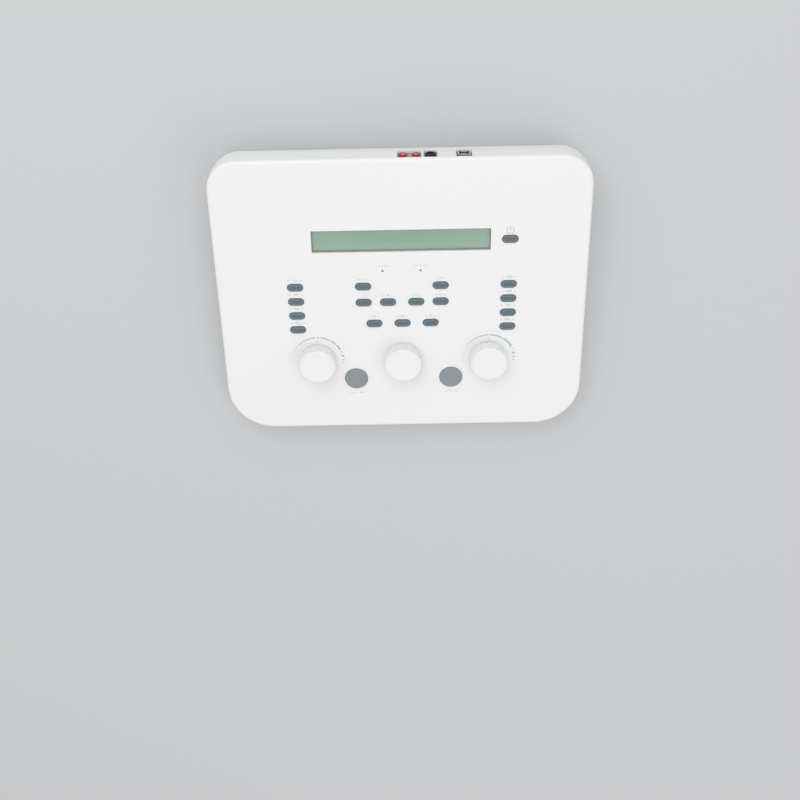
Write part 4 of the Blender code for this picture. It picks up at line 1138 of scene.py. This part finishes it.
# Sockets: a grey plate behind three openings in the rear wall carries the two headset
# sockets, moulded in red with a nickel collar, a round supply inlet and a square data socket.
plate_thickness = 0.0016
plate_lap = 0.0012
plate_back = plate_front - plate_thickness
socket_tip = console_depth / 2 + 0.0005
body_front = plate_back - gap
socket_drop = 0.012
socket_length = 0.0150
socket_depth = 0.0095
nose_bore = 0.0018
bore_depth = 0.012
jack_width = 0.0100
jack_length = 0.0140
inlet_radius = 0.0050
usb_size = (0.0120, 0.0108)
usb_wall = 0.0016
tongue_size = (0.0056, 0.0032)
tongue_length = 0.0079


def socket_place(node, base=panel):
    """Where a socket that is built upright stands, so that it looks out of the rear wall."""
    return base @ Matrix.Translation((middle_x(node), 0.0, -socket_drop)) @ rearward


def socket_hole(shape, node):
    """Cut a hole for one socket through the plate."""
    shape.data.transform(socket_place(node, Matrix()))
    cut(socket_plate, shape)


plate_low, plate_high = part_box("connector_panel")
plate_width = plate_high.x - plate_low.x
plate_top, plate_foot = bay_top + 0.0006, bay_sill - plate_lap
plate_height = plate_top - plate_foot
socket_plate = corner_block("socket_plate", plate_width, plate_height, 0.0008, plate_back, plate_front)
stand = Matrix.Translation((middle_x("connector_panel"), 0.0, (plate_top + plate_foot) / 2))
socket_plate.data.transform(stand @ rearward)
low_cut, high_cut = plate_back - overrun, plate_front + overrun
for node in jacks:
    socket_hole(round_prism("hole", nose_radius + gap, low_cut, high_cut, 48), node)
usb_hole_size = [side + 2 * gap for side in usb_size]
socket_hole(corner_block("hole", *usb_hole_size, usb_wall, low_cut, high_cut), "usb_socket")
socket_hole(round_prism("hole", inlet_radius + gap, low_cut, high_cut, 48), "power_inlet")
soften(socket_plate, fine_edge)
smooth(socket_plate)
set_on_panel(socket_plate)
plate_grey = moulded("grey_plate_plastic", (0.42, 0.43, 0.44), 0.50, shift=0.08)
finish_piece(socket_plate, plate_grey, "console", "ribbon_grey", "connector_panel")

red = moulded("red_socket_plastic", (0.52, 0.035, 0.030), 0.38, shift=0.08)
jack_body = corner_block("jack_body", jack_width, jack_width, 0.0010, body_front - jack_length, body_front, 4)
nose_rows = [
    (nose_radius, body_front - 0.0010), (nose_radius, socket_tip - 0.0004),
    (nose_radius - 0.00012, socket_tip - 0.00012), (nose_radius - 0.0004, socket_tip),
    (nose_bore + 0.0008, socket_tip), (nose_bore + 0.0005, socket_tip - 0.0003),
    (nose_bore + 0.0005, socket_tip - 0.0012), (nose_bore, socket_tip - 0.0012),
    (nose_bore, socket_tip - bore_depth),
]
weld(jack_body, turned("jack_nose", nose_rows))
cut(jack_body, round_prism("bore", nose_bore, socket_tip - bore_depth, socket_tip - 0.0010, 48))
smooth(jack_body, 40.0)
collar_rows = [
    (nose_bore + 0.0004, socket_tip - 0.0011), (nose_bore + 0.0004, socket_tip - 0.0006),
    (nose_bore, socket_tip - 0.0005), (nose_bore - 0.0003, socket_tip - 0.0007),
    (nose_bore - 0.0003, socket_tip - 0.0090),
]
collar = turned("jack_collar", collar_rows)
smooth(collar, 40.0)
nickel = metal("nickel_plate", (0.70, 0.68, 0.63), 0.24)
for node in jacks:
    jack = copy_to(jack_body, f"{node}_socket", socket_place(node))
    finish_piece(jack, red, "console", "red_plastic", node)
    ring = copy_to(collar, f"{node}_collar", socket_place(node))
    finish_piece(ring, nickel, "console", "bright_metal")
bpy.data.objects.remove(jack_body)
bpy.data.objects.remove(collar)

usb = corner_block("data_socket", *usb_size, usb_wall, socket_tip - socket_length, socket_tip, 5)
bpy.ops.object.mode_set(mode="EDIT")
pick(usb, "FACE", at_height(socket_tip))
bpy.ops.mesh.inset(thickness=usb_wall)
lift(-socket_depth)
lift(0.0)
tongue_shares = [tongue / (outer - 2 * usb_wall) for tongue, outer in zip(tongue_size, usb_size)]
bpy.ops.transform.resize(value=(*tongue_shares, 1.0), center_override=(0.0, 0.0, 0.0))
lift(tongue_length)
close(usb)
soften(usb, fine_edge)
smooth(usb, 40.0)
usb.data.transform(socket_place("usb_socket"))
finish_piece(usb, nickel, "console", "bright_metal", "usb_socket")

inlet_rows = [
    (inlet_radius, socket_tip - socket_length), (inlet_radius, socket_tip - 0.0003),
    (inlet_radius - 0.0003, socket_tip), (0.0034, socket_tip), (0.0032, socket_tip - 0.0003),
    (0.0032, socket_tip - socket_depth), (0.0010, socket_tip - socket_depth),
    (0.0010, socket_tip - 0.0020), (0.0006, socket_tip - 0.0016),
]
inlet = turned("supply_inlet", inlet_rows)
smooth(inlet, 40.0)
inlet.data.transform(socket_place("power_inlet"))
black = moulded("black_plastic", (0.022, 0.023, 0.025), 0.48, shift=0.15)
finish_piece(inlet, black, "console", "black_plastic", "power_inlet")


# Boards inside: glass-fibre boards with a green mask, and the metal encoders, their shafts
# and the grey ribbon between the boards. Their solids stay as they are and get a finish.
def circuit_board(name):
    """Green solder mask over fine copper tracks, with rows of tinned pads."""
    paint = Paint(name, (0.02, 0.16, 0.06), 0.38, Specular_IOR_Level=0.5)
    place = paint.place()
    weave = paint.node("ShaderNodeTexBrick", {"offset": 0.5}, {
        "Vector": place, "Scale": 180.0, "Mortar Size": 0.06, "Color1": (0.0, 0.0, 0.0, 1.0),
        "Color2": (1.0, 1.0, 1.0, 1.0), "Mortar": (0.5, 0.5, 0.5, 1.0),
    })
    tracks = paint.mix(weave, (0.012, 0.115, 0.045, 1.0), (0.022, 0.170, 0.070, 1.0))
    cell_inputs = {"Vector": place, "Scale": 260.0}
    cells = paint.node("ShaderNodeTexVoronoi", {"feature": "F1"}, cell_inputs, "Distance")
    pads = (0.17 - cells).above(0.0)
    paint.feed("Base Color", paint.mix(pads, tracks, (0.56, 0.55, 0.50, 1.0)))
    paint.feed("Metallic", pads * 0.9)
    paint.feed("Roughness", paint.noise(500.0) * 0.12 + 0.30)
    paint.bump(pads + paint.noise(240.0) * 0.4, 0.00003)
    return paint.material


def dress(node, material):
    """Give a carried-over solid its finish."""
    solid = frame["nodes"][node]
    solid.data.materials.clear()
    solid.data.materials.append(material)


board_green = circuit_board("circuit_board")
for node in ("control_board", "main_board", "display_board"):
    dress(node, board_green)
for side in dials:
    dress(f"encoder_{side}", nickel)
    dress(f"dial_shaft_{side}", steel)

wire_pitch = 0.00127
ribbon = Paint("ribbon_sheath", (0.42, 0.43, 0.44), 0.50)
ribbon_x = Signal(ribbon, ribbon.node("ShaderNodeSeparateXYZ", None, {"Vector": ribbon.place()}).socket)
wires = ribbon_x.wrapped(wire_pitch).distance(wire_pitch / 2) * (2 / wire_pitch)
# Painted shade: the grey sheath is painted darker in the grooves between the wires, which the bump also
# sinks.
ribbon.feed("Base Color", ribbon.mix(wires, (0.46, 0.47, 0.48, 1.0), (0.28, 0.29, 0.30, 1.0)))
ribbon.feed("Roughness", ribbon.noise(400.0) * 0.12 + 0.44)
ribbon.bump(1.0 - wires, 0.00012)
dress("ribbon_cable", ribbon.material)
